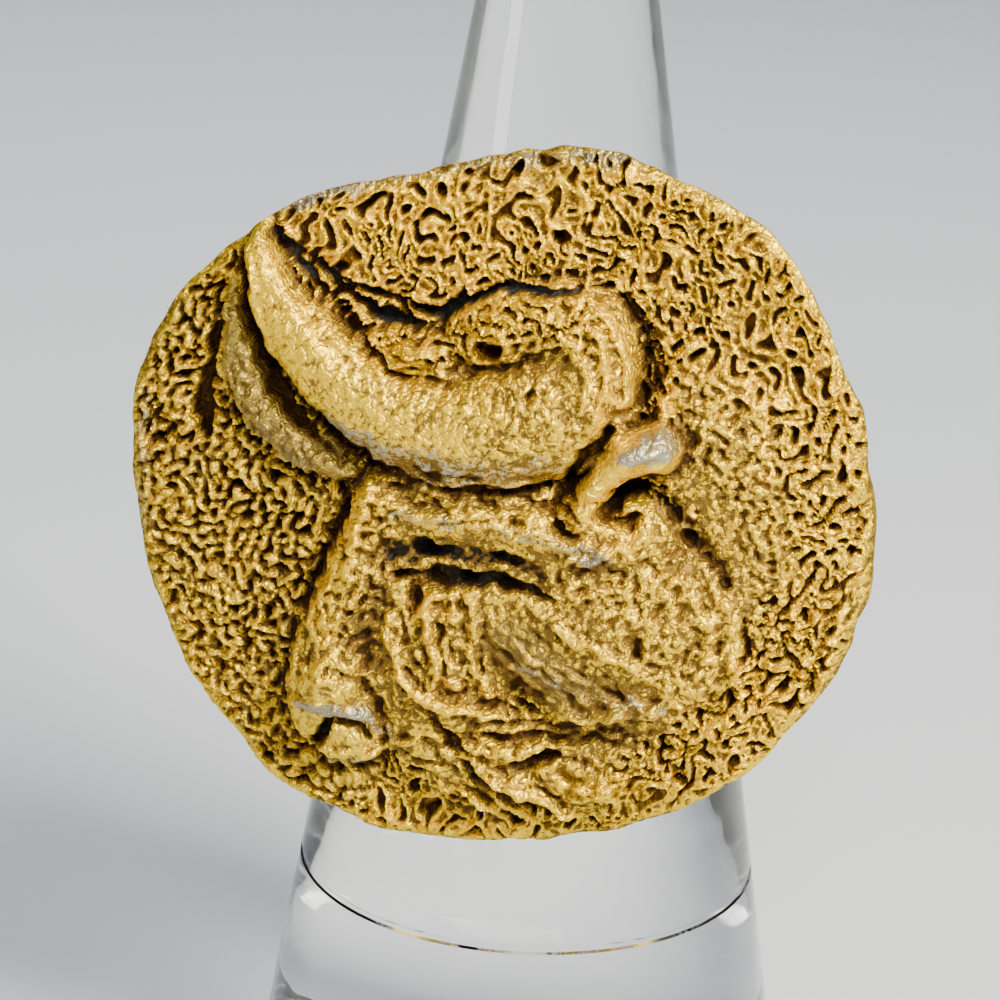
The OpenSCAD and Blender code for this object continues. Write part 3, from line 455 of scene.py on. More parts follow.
class Worms:
    """A random pattern of worm-like ridges a millimetre apart, from -1 in the hollows to 1."""

    STEP = 0.09
    SIDE = 512
    # Width of the narrow blur, as a share of the distance between two ridges
    NARROW = 1 / 6.1

    def __init__(self, seed, fill, turns):
        across = 2 * np.pi * np.fft.fftfreq(self.SIDE, self.STEP)
        up = 2 * np.pi * np.fft.rfftfreq(self.SIDE, self.STEP)
        size = (across[:, None] ** 2 + up[None, :] ** 2) * self.NARROW ** 2
        near = np.exp(-size / 2) - np.exp(-size * 1.8 ** 2 / 2)
        near /= near.max()
        field = np.random.RandomState(seed).randn(self.SIDE, self.SIDE)
        for _ in range(turns):
            field = np.tanh(3 * self.passed(field, near) + fill)
        self.field = self.passed(field, np.exp(-size * 0.7 ** 2 / 2))

    @staticmethod
    def passed(field, kernel):
        return np.fft.irfft2(np.fft.rfft2(field) * kernel, s=field.shape)

    def at(self, u, w, pitch, stretch=1.0, degrees=0.0):
        """The pattern at points in millimetres, its ridges pitch apart and drawn out along a direction."""
        c, s = math.cos(math.radians(degrees)), math.sin(math.radians(degrees))
        x = (u * c + w * s) / (pitch * stretch * self.STEP)
        y = (w * c - u * s) / (pitch * self.STEP)
        return between(self.field, x, y)


def blurred(grid, reach):
    """The grid's mean over a window, three times for a round falloff."""
    size = 2 * reach + 1
    for _ in range(3):
        for axis in (0, 1):
            pad = [(reach + 1, reach) if a == axis else (0, 0) for a in (0, 1)]
            run = np.cumsum(np.pad(grid, pad, mode="edge"), axis=axis)
            high = np.take(run, range(size, run.shape[axis]), axis=axis)
            low = np.take(run, range(0, run.shape[axis] - size), axis=axis)
            grid = (high - low) / size
    return grid


def rim_reach(angle):
    """Reach of the cast rim at an angle in radians, with its small unevenness."""
    fine = np.arange(-200, 200, 0.5)
    wide = np.interp((fine + 180) % 360 - 180, OUTLINE[:, 0], OUTLINE[:, 1])
    weights = np.exp(-0.5 * (np.arange(-20, 21) / 6.0) ** 2)
    wide = np.convolve(np.pad(wide, 20, mode="edge"), weights / weights.sum(), mode="valid")
    reach = np.interp(np.degrees(angle), fine, wide)
    around, across = np.cos(angle) * MEAN_REACH, np.sin(angle) * MEAN_REACH
    reach += 0.16 * clouds(around, across, 2.6, 5) + 0.1 * clouds(around, across, 1.0, 6)
    return reach - RIM_INSET


def thin_net(a, b, high, deep):
    """Raised rims round deep pits, with shallow pits between them."""
    pit = ease(-a, 0.05, 0.8)
    rim = np.exp(-((a - 0.12) / 0.3) ** 2)
    shallow = ease(a, 0.2, 0.9) * ease(np.abs(b), 0.0, 0.7)
    return high * rim - deep * pit - 0.2 * shallow


def ground_texture(u, w, depth):
    """Height of the wiry ground and of the worm-like ground beside it."""
    loops, cross, worms = Worms(3, 0.3, 4), Worms(7, 0.0, 3), Worms(4, -0.25, 4)
    uu, ww = bent(u, w, (0.34, 1.7, 11, 13), (0.16, 0.6, 12, 14))
    deep = ease(clouds(u, w, 1.3, 15) + 0.4 * clouds(u, w, 0.6, 17), -0.1, 0.7)
    wide = ease(clouds(u, w, 2.4, 19), -0.35, 0.25)
    holes = wide * loops.at(uu, ww, 1.0, 1.4, 78) + (1 - wide) * loops.at(uu, ww, 0.68, 1.3, 84)
    net = thin_net(holes, cross.at(uu, ww, 0.9, 1.25, 75), 0.32, 0.5 + 0.8 * deep)
    net += 0.14 * clouds(u, w, 1.5, 18)
    low = ease(-w, 5, 9)
    brain = worms.at(uu, ww, 0.7, 1.1, 50) * (1 - low) + worms.at(uu, ww, 0.64, 1.6, -6) * low
    brain += 0.3 * cross.at(uu, ww, 0.42)
    brain = 0.38 * ease(brain, -1.1, 0.9) - (0.16 + 0.6 * deep) * ease(-brain, -0.1, 1.0)
    brain -= (0.32 + 0.3 * deep) * ease(-cross.at(ww, uu, 0.56), 0.05, 0.7)
    brain += 0.2 * clouds(u, w, 1.8, 16)
    share = np.clip(form_height(u, w, 1.0, WORMY) * 1.6, 0, 1)
    return depth * (net * (1 - share) + brain * share), share


def skin_texture(u, w, depth):
    """Height of the crinkled skin on the head and of the folded neck."""
    sponge, worms, lines = Worms(5, 0.12, 5), Worms(6, 0.0, 4), Worms(8, 0.0, 3)
    uu, ww = bent(u, w, (0.24, 1.2, 31, 32), (0.12, 0.5, 38, 39))
    skin = 0.16 * ease(np.abs(lines.at(uu, ww, 1.1, 1.2, 50)), 0.0, 0.7) - 0.16
    skin += 0.11 * clouds(u, w, 0.5, 40)
    total = np.ones_like(u) * 0.3
    grain = np.zeros_like(u)
    for degrees, pitch, stretch, high, rows in GRAIN.values():
        weight = form_height(u, w, 0.8, rows)
        ridges = worms.at(uu, ww, pitch, stretch, degrees)
        grain += weight * high * (1.6 * ease(ridges, -1.0, 0.3) - 1.0)
        total += weight
    skin += grain / total
    pits = thin_net(sponge.at(uu, ww, 0.62, 1.2, 20), lines.at(uu, ww, 0.6), 0.34, 0.6)
    crown = form_height(u, w, 0.6, POLL)
    skin = skin * (1 - crown) + pits * crown
    # The neck's folds run round the middle of the head
    ring, along = np.hypot(u - 4, w + 4), np.arctan2(w + 4, u - 4) * 11
    ring_v, ring_r = along + 0.4 * clouds(u, w, 1.4, 35), ring + 0.4 * clouds(u, w, 1.1, 36)
    upper = ease(w, -3, 0)
    holes = upper * sponge.at(uu, ww, 0.74, 1.3, 35) + (1 - upper) * sponge.at(ring_v, ring_r, 0.68, 1.2)
    deep = ease(clouds(u, w, 1.5, 37), -0.6, 0.4)
    net = thin_net(holes, lines.at(uu, ww, 0.8, 1.2, 60), 0.26, 0.5 + 0.7 * deep)
    strands = worms.at(uu, ww, 0.6, 1.5, -66) + 0.7 * lines.at(uu, ww, 0.44, 1.2, 20)
    inner = 0.36 * ease(strands, -1.2, 0.4) - 0.26 + 0.12 * clouds(u, w, 0.6, 48)
    outer = ease(np.hypot(u, w) + 0.5 * clouds(u, w, 2.2, 49), 13.8, 15.4)
    neck = net * outer + inner * (1 - outer)
    share = ease(ring, 7.5, 9.5) * ease(u, 4, 9)
    return depth * (skin * (1 - share) + neck * share)


def relief(u, w, share, depth):
    """Height of the relief, and the marks that steer its finish and its painted shade, over each point."""
    drift = ((0.16, 1.1, 41, 43), (0.08, 0.4, 42, 44))
    uu, ww = bent(u, w, *drift)
    rough_u, rough_w = bent(u, w, *drift, (0.2, 0.7, 45, 46))
    half_u, half_w = (uu + rough_u) / 2, (ww + rough_w) / 2
    masses = all_heights(uu, ww, MASSES)
    front, rear = (masses[list(MASSES).index(name)] for name in ("front horn", "rear horn"))
    head = (masses ** MEETING).sum(axis=0) ** (1 / MEETING)
    folds = all_heights(half_u, half_w, FOLDS).sum(axis=0) * (1 + 0.45 * clouds(u, w, 0.5, 50))
    cuts = all_heights(rough_u, rough_w, CUTS)
    # The first cut is the gap between the horns, which stops at the front horn
    cuts[0] *= 1 - ease(front, 0.1, 0.9)
    cuts = cuts.max(axis=0) * (1 + 0.45 * clouds(u, w, 0.6, 47))
    pool = form_height(half_u, half_w, *CUTS["pool"])
    cuts = np.maximum(cuts, pool)
    strands = all_heights(uu, ww, STRANDS).max(axis=0)
    smooth = all_heights(u, w, SMOOTH).max(axis=0).clip(0, 1)
    ground, coral = ground_texture(u, w, depth)
    skin = skin_texture(u, w, depth) * (1 - 0.85 * smooth)
    on_head = ease(head, 0.35, 1.1)
    edge = ease(share, 0.965, 1.0)
    texture = ground * (1 - on_head) + skin * on_head
    calm = np.maximum(0.8 * ease(cuts - strands, 0.6, 1.1), 0.9 * ease(pool - strands, 0.2, 0.7))
    height = head + 1.1 * folds - cuts + strands
    height += texture * (1 - 0.85 * edge) * (1 - calm) - 0.5 * edge ** 2
    across, along, streak = followed(uu, ww, STREAKS)
    satin = form_height(u, w, 0.8, SATIN)
    marks = {
        "across": across,
        "along": along,
        "streak": streak,
        # Grey from wear, and painted shade and reflection on the horn's underside and the ear
        "grey_wear_and_shade": all_heights(u, w, GREY_WEAR_AND_SHADE).max(axis=0),
        "warm": all_heights(u, w, WARM).max(axis=0),
        "dull": np.maximum.reduce([0.3 * coral, 0.7 * satin, ease(rear, 0.3, 0.9)]),
        # Painted shade, with thicker patina in places
        "shade_and_patina": all_heights(uu, ww, SHADE_AND_PATINA).max(axis=0),
        "smooth": smooth,
        # Where the gap above the horn is painted as shade
        "pool": ease(pool - 1.4 * strands, 0.35, 0.8),
        "head": on_head,
    }
    return height, marks


def made(bm, name, place):
    """Turns a bmesh into an object at the origin, with its place in its mesh."""
    bm.transform(place)
    mesh = bpy.data.meshes.new(name)
    bm.to_mesh(mesh)
    bm.free()
    mesh.shade_smooth()
    obj = bpy.data.objects.new(name, mesh)
    bpy.context.collection.objects.link(obj)
    return obj


class Finish:
    """A material whose nodes are added one call at a time."""

    def __init__(self, name):
        self.material = bpy.data.materials.new(name)
        self.material.use_nodes = True
        self.tree = self.material.node_tree
        self.tree.nodes.clear()
        self.shader = self.node("BsdfPrincipled", {})
        self.node("OutputMaterial", {"Surface": self.shader.outputs["BSDF"]})
        self.place = self.node("TexCoord", {}).outputs["Object"]

    def feed(self, socket, value):
        """Links an output, or sets a plain value."""
        if isinstance(value, bpy.types.NodeSocket):
            self.tree.links.new(value, socket)
        else:
            socket.default_value = value

    def node(self, kind, inputs, **settings):
        """Adds a node, with its settings first and then what its inputs are fed."""
        node = self.tree.nodes.new("ShaderNode" + kind)
        for name, value in settings.items():
            setattr(node, name, value)
        for socket, value in inputs.items():
            self.feed(node.inputs[socket], value)
        return node

    def give(self, socket, value):
        """Feeds one input of the shader."""
        self.feed(self.shader.inputs[socket], value)

    def mark(self, name):
        """One of the marks that the mesh carries."""
        return self.node("Attribute", {}, attribute_name=name).outputs["Fac"]

    def noise(self, size_mm, detail=3.0, roughness=0.55):
        """Noise whose patches are about size_mm across."""
        return self.node("TexNoise", {
            "Vector": self.place, "Scale": 1 / (size_mm * MM), "Detail": detail, "Roughness": roughness,
        }).outputs["Fac"]

    def warped(self, size_mm, reach_mm):
        """The place, pushed about by a noise by up to about reach_mm."""
        noise = self.node("TexNoise", {"Vector": self.place, "Scale": 1 / (size_mm * MM)})
        inputs = {0: noise.outputs["Color"], 1: (4 * reach_mm * MM,) * 3, 2: self.place}
        return self.node("VectorMath", inputs, operation="MULTIPLY_ADD").outputs["Vector"]

    def cracks(self, place, size_mm, width):
        """0 on the borders of cells about size_mm across, 1 inside them."""
        inputs = {"Vector": place, "Scale": 1 / (size_mm * MM)}
        cells = self.node("TexVoronoi", inputs, feature="DISTANCE_TO_EDGE")
        return self.span(cells.outputs["Distance"], 0, width)

    def lines(self, size_mm, width):
        """0 on lines that wander about size_mm apart, 1 between them."""
        off = self.sum("ABSOLUTE", self.plus(self.noise(size_mm, 1.5, 0.5), -0.5), 0)
        return self.span(off, 0, width)

    def streaks(self, pitch_mm, long_mm):
        """Lines pitch_mm apart that run along the forms which the across and along marks follow."""
        join = self.node("CombineXYZ", {
            0: self.times(self.mark("across"), 1 / pitch_mm),
            1: self.times(self.mark("along"), 1 / long_mm),
        })
        return self.node("TexNoise", {"Vector": join.outputs[0], "Scale": 1, "Detail": 1}).outputs["Fac"]

    def sum(self, kind, a, b):
        return self.node("Math", {0: a, 1: b}, operation=kind).outputs[0]

    def plus(self, a, b):
        return self.sum("ADD", a, b)

    def times(self, a, b):
        return self.sum("MULTIPLY", a, b)

    def span(self, value, from_low, from_high, to_low=0, to_high=1):
        """A smooth step from to_low at from_low to to_high at from_high."""
        return self.node("MapRange", {
            "Value": value, "From Min": from_low, "From Max": from_high, "To Min": to_low, "To Max": to_high,
        }, interpolation_type="SMOOTHSTEP").outputs["Result"]

    def ramp(self, value, stops):
        """A colour for each value, from stops of a position and a colour."""
        node = self.node("ValToRGB", {"Fac": value})
        band = node.color_ramp
        while len(band.elements) < len(stops):
            band.elements.new(0.5)
        for element, (position, colour) in zip(band.elements, stops):
            element.position = position
            element.color = (*colour[:3], 1)
        return node.outputs["Color"]

    def mix(self, factor, a, b):
        """Blends colour a into colour b."""
        a, b = (c if isinstance(c, bpy.types.NodeSocket) else (*c[:3], 1) for c in (a, b))
        return self.node("Mix", {0: factor, 6: a, 7: b}, data_type="RGBA").outputs[2]

    def bump(self, height, distance_mm, strength):
        """Tilts the surface by a height of up to distance_mm."""
        inputs = {"Height": height, "Distance": distance_mm * MM, "Strength": strength}
        self.give("Normal", self.node("Bump", inputs).outputs["Normal"])


COLOUR = {"subtype": "COLOR", "min": 0, "max": 1}


class MedallionSettings(PropertyGroup):
    """Sizes and colours of the cast medallion."""

    back: FloatProperty(
        name="Back", description="Distance of the flat back from the ring's middle, in mm", default=10.7)
    plate: FloatProperty(name="Plate", description="Thickness at the rim, in mm", default=1.7, min=1, max=3)
    crown: FloatProperty(
        name="Crown", description="Extra thickness at the middle, in mm", default=0.8, min=0, max=2)
    texture: FloatProperty(
        name="Texture depth", description="Share of the texture's full depth", default=1.0, min=0, max=1.5)
    grid: IntProperty(name="Grid", description="Cells across the face", default=290, min=60, max=300)
    gold: FloatVectorProperty(
        name="Gold", description="Bright gold of the raised parts", default=(0.96, 0.64, 0.018), **COLOUR)
    bronze: FloatVectorProperty(
        name="Bronze", description="Tone below the raised parts", default=(0.24, 0.145, 0.03), **COLOUR)
    patina: FloatVectorProperty(
        name="Patina", description="Dark tone of the hollows", default=(0.105, 0.043, 0.008), **COLOUR)
    # Painted shade: a shade colour near zero for the deepest holes
    hole_shade: FloatVectorProperty(
        name="Black", description="Tone of the darkest holes", default=(0.006, 0.008, 0.012), **COLOUR)
    # Painted shade: blue-grey shade colour for the gap above the horn
    gap_shade: FloatVectorProperty(
        name="Slate", description="Tone of the gap above the horn", default=(0.02, 0.026, 0.04), **COLOUR)
    polished: FloatVectorProperty(
        name="Polished", description="Gold of the smooth parts", default=(0.96, 0.63, 0.01), **COLOUR)
    olive: FloatVectorProperty(
        name="Olive", description="Dull metal of the rear horn", default=(0.2, 0.16, 0.08), **COLOUR)
    # Partly wear of the plating, partly painted shade and reflection on the horn's underside and the ear
    grey_wear_and_shade: FloatVectorProperty(
        name="Worn", description="Grey metal where the plating is worn", default=(0.32, 0.32, 0.34), **COLOUR)
    warm: FloatVectorProperty(
        name="Orange", description="Orange gold of some hollows", default=(0.52, 0.3, 0.0), **COLOUR)


class BandSettings(PropertyGroup):
    """Sizes and colour of the open band."""

    inner_d: FloatProperty(
        name="Inside diameter", description="Inside diameter, in mm", default=18.3, min=15, max=22)
    thickness: FloatProperty(
        name="Thickness", description="Thickness of the band, in mm", default=1.0, min=0.6, max=1.6)
    width: FloatProperty(name="Width", description="Width of the band, in mm", default=5.0, min=3, max=8)
    gap: FloatProperty(
        name="Opening", description="Opening between the two ends, in mm", default=5.0, min=1, max=10)
    pad_d: FloatProperty(
        name="Pad diameter", description="Diameter of the round pad, in mm", default=12.0, min=6, max=16)
    pad_t: FloatProperty(
        name="Pad thickness", description="Thickness of the round pad, in mm", default=0.8, min=0.5, max=1.5)
    gold: FloatVectorProperty(
        name="Gold", description="Satin gold of the band", default=(0.88, 0.6, 0.07), **COLOUR)


class ConeSettings(PropertyGroup):
    """Sizes and tint of the ring cone."""

    foot_d: FloatProperty(
        name="Foot diameter", description="Diameter at the foot, in mm", default=30.0, min=20, max=40)
    tip_d: FloatProperty(
        name="Top diameter", description="Diameter at the top, in mm", default=6.0, min=3, max=12)
    height: FloatProperty(
        name="Height", description="Height of the cone, in mm", default=74.0, min=50, max=110)
    line_z: FloatProperty(
        name="Line height", description="Height of the fine turned line, in mm", default=15.35, min=5, max=30)
    tint: FloatVectorProperty(
        name="Tint", description="Tint of the clear acrylic", default=(0.97, 0.98, 0.985), **COLOUR)


class StageSettings(PropertyGroup):
    """Camera, lights and floor."""

    azimuth: FloatProperty(
        name="Azimuth", description="Angle round the ring", subtype="ANGLE", default=math.radians(9.87))
    elevation: FloatProperty(
        name="Elevation", description="Angle above the horizon", subtype="ANGLE", default=math.radians(19.55))
    roll: FloatProperty(
        name="Roll", description="Turn about the view's axis", subtype="ANGLE", default=math.radians(2.56))
    place: FloatVectorProperty(
        name="Place", description="Place of the camera, in mm", default=(29.7, -184.3, 102.2))
    lens: FloatProperty(
        name="Lens", description="Focal length in mm on a 36 mm sensor", default=132.5, min=20, max=300)
    floor: FloatVectorProperty(
        name="Floor", description="Colour of the plain floor", default=(0.62, 0.68, 0.86), **COLOUR)
    light: FloatProperty(
        name="Light", description="Strength of all the lights, as a share", default=1.0, min=0, max=5)


class RING_OT_add_medallion(Operator):
    """Adds the cast medallion with its relief"""

    bl_idname = "ring.add_medallion"
    bl_label = "Add Medallion"

    def execute(self, context):
        settings = context.scene.ring_medallion
        bm = bmesh.new()
        bmesh.ops.create_grid(bm, x_segments=settings.grid, y_segments=settings.grid, size=1.0)
        verts = list(bm.verts)
        square = np.array([v.co[:2] for v in verts])
        order = np.lexsort((square[:, 0].round(6), square[:, 1].round(6)))
        # The grid's square is bent to a circle, and the circle is drawn out to the outline
        s, t = square[order, 0], square[order, 1]
        x, y = s * np.sqrt(1 - t * t / 2), t * np.sqrt(1 - s * s / 2)
        reach = rim_reach(np.arctan2(y, x))
        share = np.hypot(x, y)
        u, w = x * reach, y * reach
        height, marks = relief(u, w, share, settings.texture)
        thickness = settings.plate + settings.crown * (1 - share ** 2) + height
        thickness = np.maximum(thickness, THINNEST)
        depths = -settings.back - thickness
        for place, i in enumerate(order):
            verts[i].co = (u[place], depths[place], w[place])
        # Patina in the crevices, with painted shade in the wider hollows and a painted highlight on the rim's
        # edge
        marks["cavity"] = self.cavity(thickness, share)
        values = {}
        for name, sorted_values in marks.items():
            values[name] = np.empty(len(verts))
            values[name][order] = sorted_values
        self.add_wall_and_back(bm, settings)
        bmesh.ops.recalc_face_normals(bm, faces=bm.faces[:])
        medallion = made(bm, "medallion", ON_CONE)
        self.add_marks(medallion.data, values)
        medallion.data.materials.append(self.finish(settings))
        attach(medallion, "root")
        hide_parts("medallion")
        return {"FINISHED"}

    def cavity(self, thickness, share):
        """How far each point stands out from what is round it: 0 in the hollows, 1 on the ridges. The close
        term is patina in the crevices; the two wider terms are painted shade on low ground beside tall forms,
        and the rim's outer edge gets a painted highlight.
        """
        side = int(round(math.sqrt(len(thickness))))
        grid = thickness.reshape(side, side)
        small, large, broad = ((grid - blurred(grid, cells)).ravel() for cells in (2, 6, 16))
        # The large and broad terms are painted shade; the small term is patina
        cavity = 0.5 + 1.1 * small + 0.35 * large + 0.1 * np.clip(broad, -2, 0.6)
        # Painted highlight: the rim's outer edge is lifted in tone
        return np.clip(cavity + 0.25 * ease(share, 0.97, 0.995), 0, 1)

    def add_wall_and_back(self, bm, settings):
        """Draws the face's edge back to the flat back and closes it."""
        edges = [e for e in bm.edges if e.is_boundary]
        for scale, left in WALL:
            grown = bmesh.ops.extrude_edge_only(bm, edges=edges)["geom"]
            edges = [e for e in grown if isinstance(e, bmesh.types.BMEdge)]
            for v in {v for e in edges for v in e.verts}:
                angle = math.atan2(v.co.z, v.co.x)
                out = scale * (1 + 0.004 * math.sin(angle * 23) * left)
                away = math.hypot(v.co.x, v.co.z)
                ring = float(rim_reach(np.array([angle]))[0])
                v.co.x *= out * ring / away
                v.co.z *= out * ring / away
                v.co.y = -settings.back - settings.plate * left
        back = bmesh.ops.contextual_create(bm, geom=edges)["faces"]
        bmesh.ops.inset_region(bm, faces=back, thickness=0.6)

    def add_marks(self, mesh, marks):
        """Stores the face's marks, and those at rest for the wall and the back."""
        for mark, values in marks.items():
            field = mesh.attributes.new(mark, "FLOAT", "POINT")
            full = np.full(len(mesh.vertices), REST.get(mark, 0.0), dtype=np.float32)
            full[: len(values)] = values
            field.data.foreach_set("value", full)

    def finish(self, settings):
        """Antiqued gold: patina with painted shade in the hollows, bright raised parts with a painted
        highlight on the rim, and grey that is partly wear of the plating and partly painted shade and
        reflection.
        """
        gold = Finish("antique_gold")
        mark, span, plus, times, mix = gold.mark, gold.span, gold.plus, gold.times, gold.mix
        tone, fine, wiggle = gold.noise(1.1, 4), gold.noise(0.24, 2), gold.noise(0.45, 1, 0.5)
        fleck = span(gold.noise(0.3, 1.5), 0.36, 0.52, -0.22, 0.05)
        strand = gold.streaks(0.26, 1.8)
        cells = gold.cracks(gold.warped(0.5, 0.22), 0.4, 0.18)
        crack = times(gold.lines(0.55, 0.12), span(cells, 0, 1, 0.6, 1))
        # The level runs from 0 in the hollows to 1 on the ridges, with the fine detail added; it also carries
        # painted shade from the wider hollows and the shade marks, and the painted highlight of the rim
        level = plus(mark("cavity"), span(tone, 0.3, 0.7, -0.16, 0.1))
        # Painted shade: the shade marks lower the level under the horns, round the eye and in the pits
        level = plus(level, times(mark("shade_and_patina"), -0.15))
        detail = times(fleck, span(mark("streak"), 0.2, 0.9, 1, 0.2))
        detail = plus(detail, span(fine, 0.3, 0.7, -0.1, 0.1))
        detail = plus(detail, times(mark("streak"), span(strand, 0.36, 0.6, -0.22, 0.06)))
        deep = times(span(mark("head"), 0, 1, 0.14, 0.44), span(mark("smooth"), 0, 1, 1, 0.25))
        detail = plus(detail, times(plus(crack, -0.75), deep))
        level = gold.sum("MAXIMUM", plus(level, detail), gold.sum("MINIMUM", level, 0.26))
        between_tones = [0.5 * g + 0.5 * b for g, b in zip(settings.gold, settings.bronze)]
        colour = gold.ramp(level, [
            (0.0, [c * 0.4 for c in settings.patina]), (0.1, settings.patina), (0.26, settings.bronze),
            (0.38, between_tones), (0.54, settings.gold), (0.74, [min(1, c * 1.08) for c in settings.gold]),
        ])
        # Painted shade: the deepest holes of the eye, the nostril and the ear pits get a shade colour near
        # zero
        hole_shade = times(span(mark("shade_and_patina"), 1.4, 2.0), span(level, 0.04, 0.14, 1, 0))
        colour = mix(times(hole_shade, 0.8), colour, settings.hole_shade)
        warm = times(span(level, 0.12, 0.3), span(level, 0.45, 0.65, 1, 0.15))
        colour = mix(times(times(warm, mark("warm")), 0.9), colour, settings.warm)
        polished = times(mark("smooth"), span(level, 0.36, 0.6))
        colour = mix(times(polished, 0.6), colour, settings.polished)
        # Grey: wear of the plating, and painted shade and reflection on the horn's underside and the ear
        grey_wear_and_shade = plus(plus(mark("grey_wear_and_shade"), span(tone, 0.45, 0.8, 0, 0.5)), fine)
        grey_wear_and_shade = times(span(grey_wear_and_shade, 0.95, 1.4), span(level, 0.3, 0.5))
        colour = mix(times(grey_wear_and_shade, 0.85), colour, settings.grey_wear_and_shade)
        colour = mix(times(mark("dull"), span(level, 0.15, 0.4, 0, 0.7)), colour, settings.olive)
        # Painted shade: the gap above the horn is coloured blue-grey as shade
        gold.give("Base Color", mix(mark("pool"), colour, settings.gap_shade))
        gold.give("Metallic", span(level, 0.1, 0.35, 0.5, 1))
        gold.give("Roughness", plus(span(level, 0.2, 0.6, 0.62, 0.47), span(fine, 0.3, 0.7, -0.04, 0.04)))
        gold.give("Specular Tint", (1.0, 0.84, 0.45, 1))
        height = plus(times(wiggle, 1.2), times(crack, 0.6))
        height = times(plus(height, times(fine, 0.12)), span(mark("smooth"), 0, 1, 1, 0.4))
        gold.bump(plus(height, times(mark("streak"), strand)), 0.12, 1.0)
        return gold.material


class RING_OT_add_band(Operator):
    """Adds the open band with its round pad"""

    bl_idname = "ring.add_band"
    bl_label = "Add Band"

    # Least angle of an edge that is broken, how far the band's outside swells, the depth to which
    # the pad is let in, and the solder's place and half sizes, in mm
    SHARP = math.radians(50)
    SWELL = 0.12
    SINK = 0.3
    SOLDER_IN = 0.12
    SOLDER = (3.9, 0.42, 2.75)

    def execute(self, context):
        settings = context.scene.ring_band
        inner = settings.inner_d / 2
        outer = inner + settings.thickness
        half = settings.width / 2
        bm = bmesh.new()
        bmesh.ops.create_grid(bm, x_segments=200, y_segments=16, size=1.0)
        for v in bm.verts:
            up = half * math.sin(v.co.y * math.pi / 2)
            # The ends are round, so the band is shorter at its edges
            end_x = settings.gap / 2 + half - math.sqrt(max(half * half - up * up, 0))
            end = math.asin(end_x / outer)
            turn = math.pi / 2 + math.pi + v.co.x * (math.pi - end)
            crowned = outer - self.SWELL * (up / half) ** 2
            v.co = (crowned * math.cos(turn), crowned * math.sin(turn), up)
        skin = bmesh.ops.extrude_face_region(bm, geom=bm.faces[:])["geom"]
        for v in skin:
            if isinstance(v, bmesh.types.BMVert):
                away = math.hypot(v.co.x, v.co.y)
                v.co.x *= inner / away
                v.co.y *= inner / away
        bmesh.ops.recalc_face_normals(bm, faces=bm.faces[:])
        self.break_edges(bm, bm.edges, 0.16)
        self.add_pad(bm, settings, outer)
        band = made(bm, "band", ON_CONE)
        band.data.materials.append(self.finish(settings))
        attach(band, "root")
        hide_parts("band")
        return {"FINISHED"}

    def break_edges(self, bm, edges, width):
        """Rounds the sharp ones of the edges."""
        sharp = [e for e in edges if e.calc_face_angle(0) > self.SHARP]
        bmesh.ops.bevel(bm, geom=sharp, offset=width, segments=3, profile=0.5, affect="EDGES", material=-1)

    def add_pad(self, bm, settings, outer):
        """The round pad, let into the band, and the solder that runs between them."""
        back = outer - self.SINK
        place = Matrix.Translation((0, -back - settings.pad_t / 2, 0)) @ Matrix.Rotation(math.pi / 2, 4, "X")
        radius = settings.pad_d / 2
        pad = bmesh.ops.create_cone(
            bm, cap_ends=True, segments=128, radius1=radius, radius2=radius, depth=settings.pad_t,
            matrix=place,
        )["verts"]
        self.break_edges(bm, {e for v in pad for e in v.link_edges}, 0.14)
        solder = Matrix.Translation((0, self.SOLDER_IN - back, 0)) @ Matrix.Diagonal((*self.SOLDER, 1))
        bmesh.ops.create_uvsphere(bm, u_segments=48, v_segments=24, radius=1.0, matrix=solder)

    def finish(self, settings):
        """Satin gold with fine scratches round the band."""
        gold = Finish("gold_band")
        haze, fine = gold.noise(2.2, 3), gold.noise(0.25, 3)
        deep = [c * 0.8 for c in settings.gold]
        gold.give("Base Color", gold.mix(gold.span(haze, 0.35, 0.7), settings.gold, deep))
        gold.give("Metallic", 1.0)
        gold.give("Roughness", gold.span(fine, 0.3, 0.7, 0.2, 0.34))
        gold.bump(gold.plus(haze, gold.times(fine, 0.3)), 0.03, 0.6)
        return gold.material


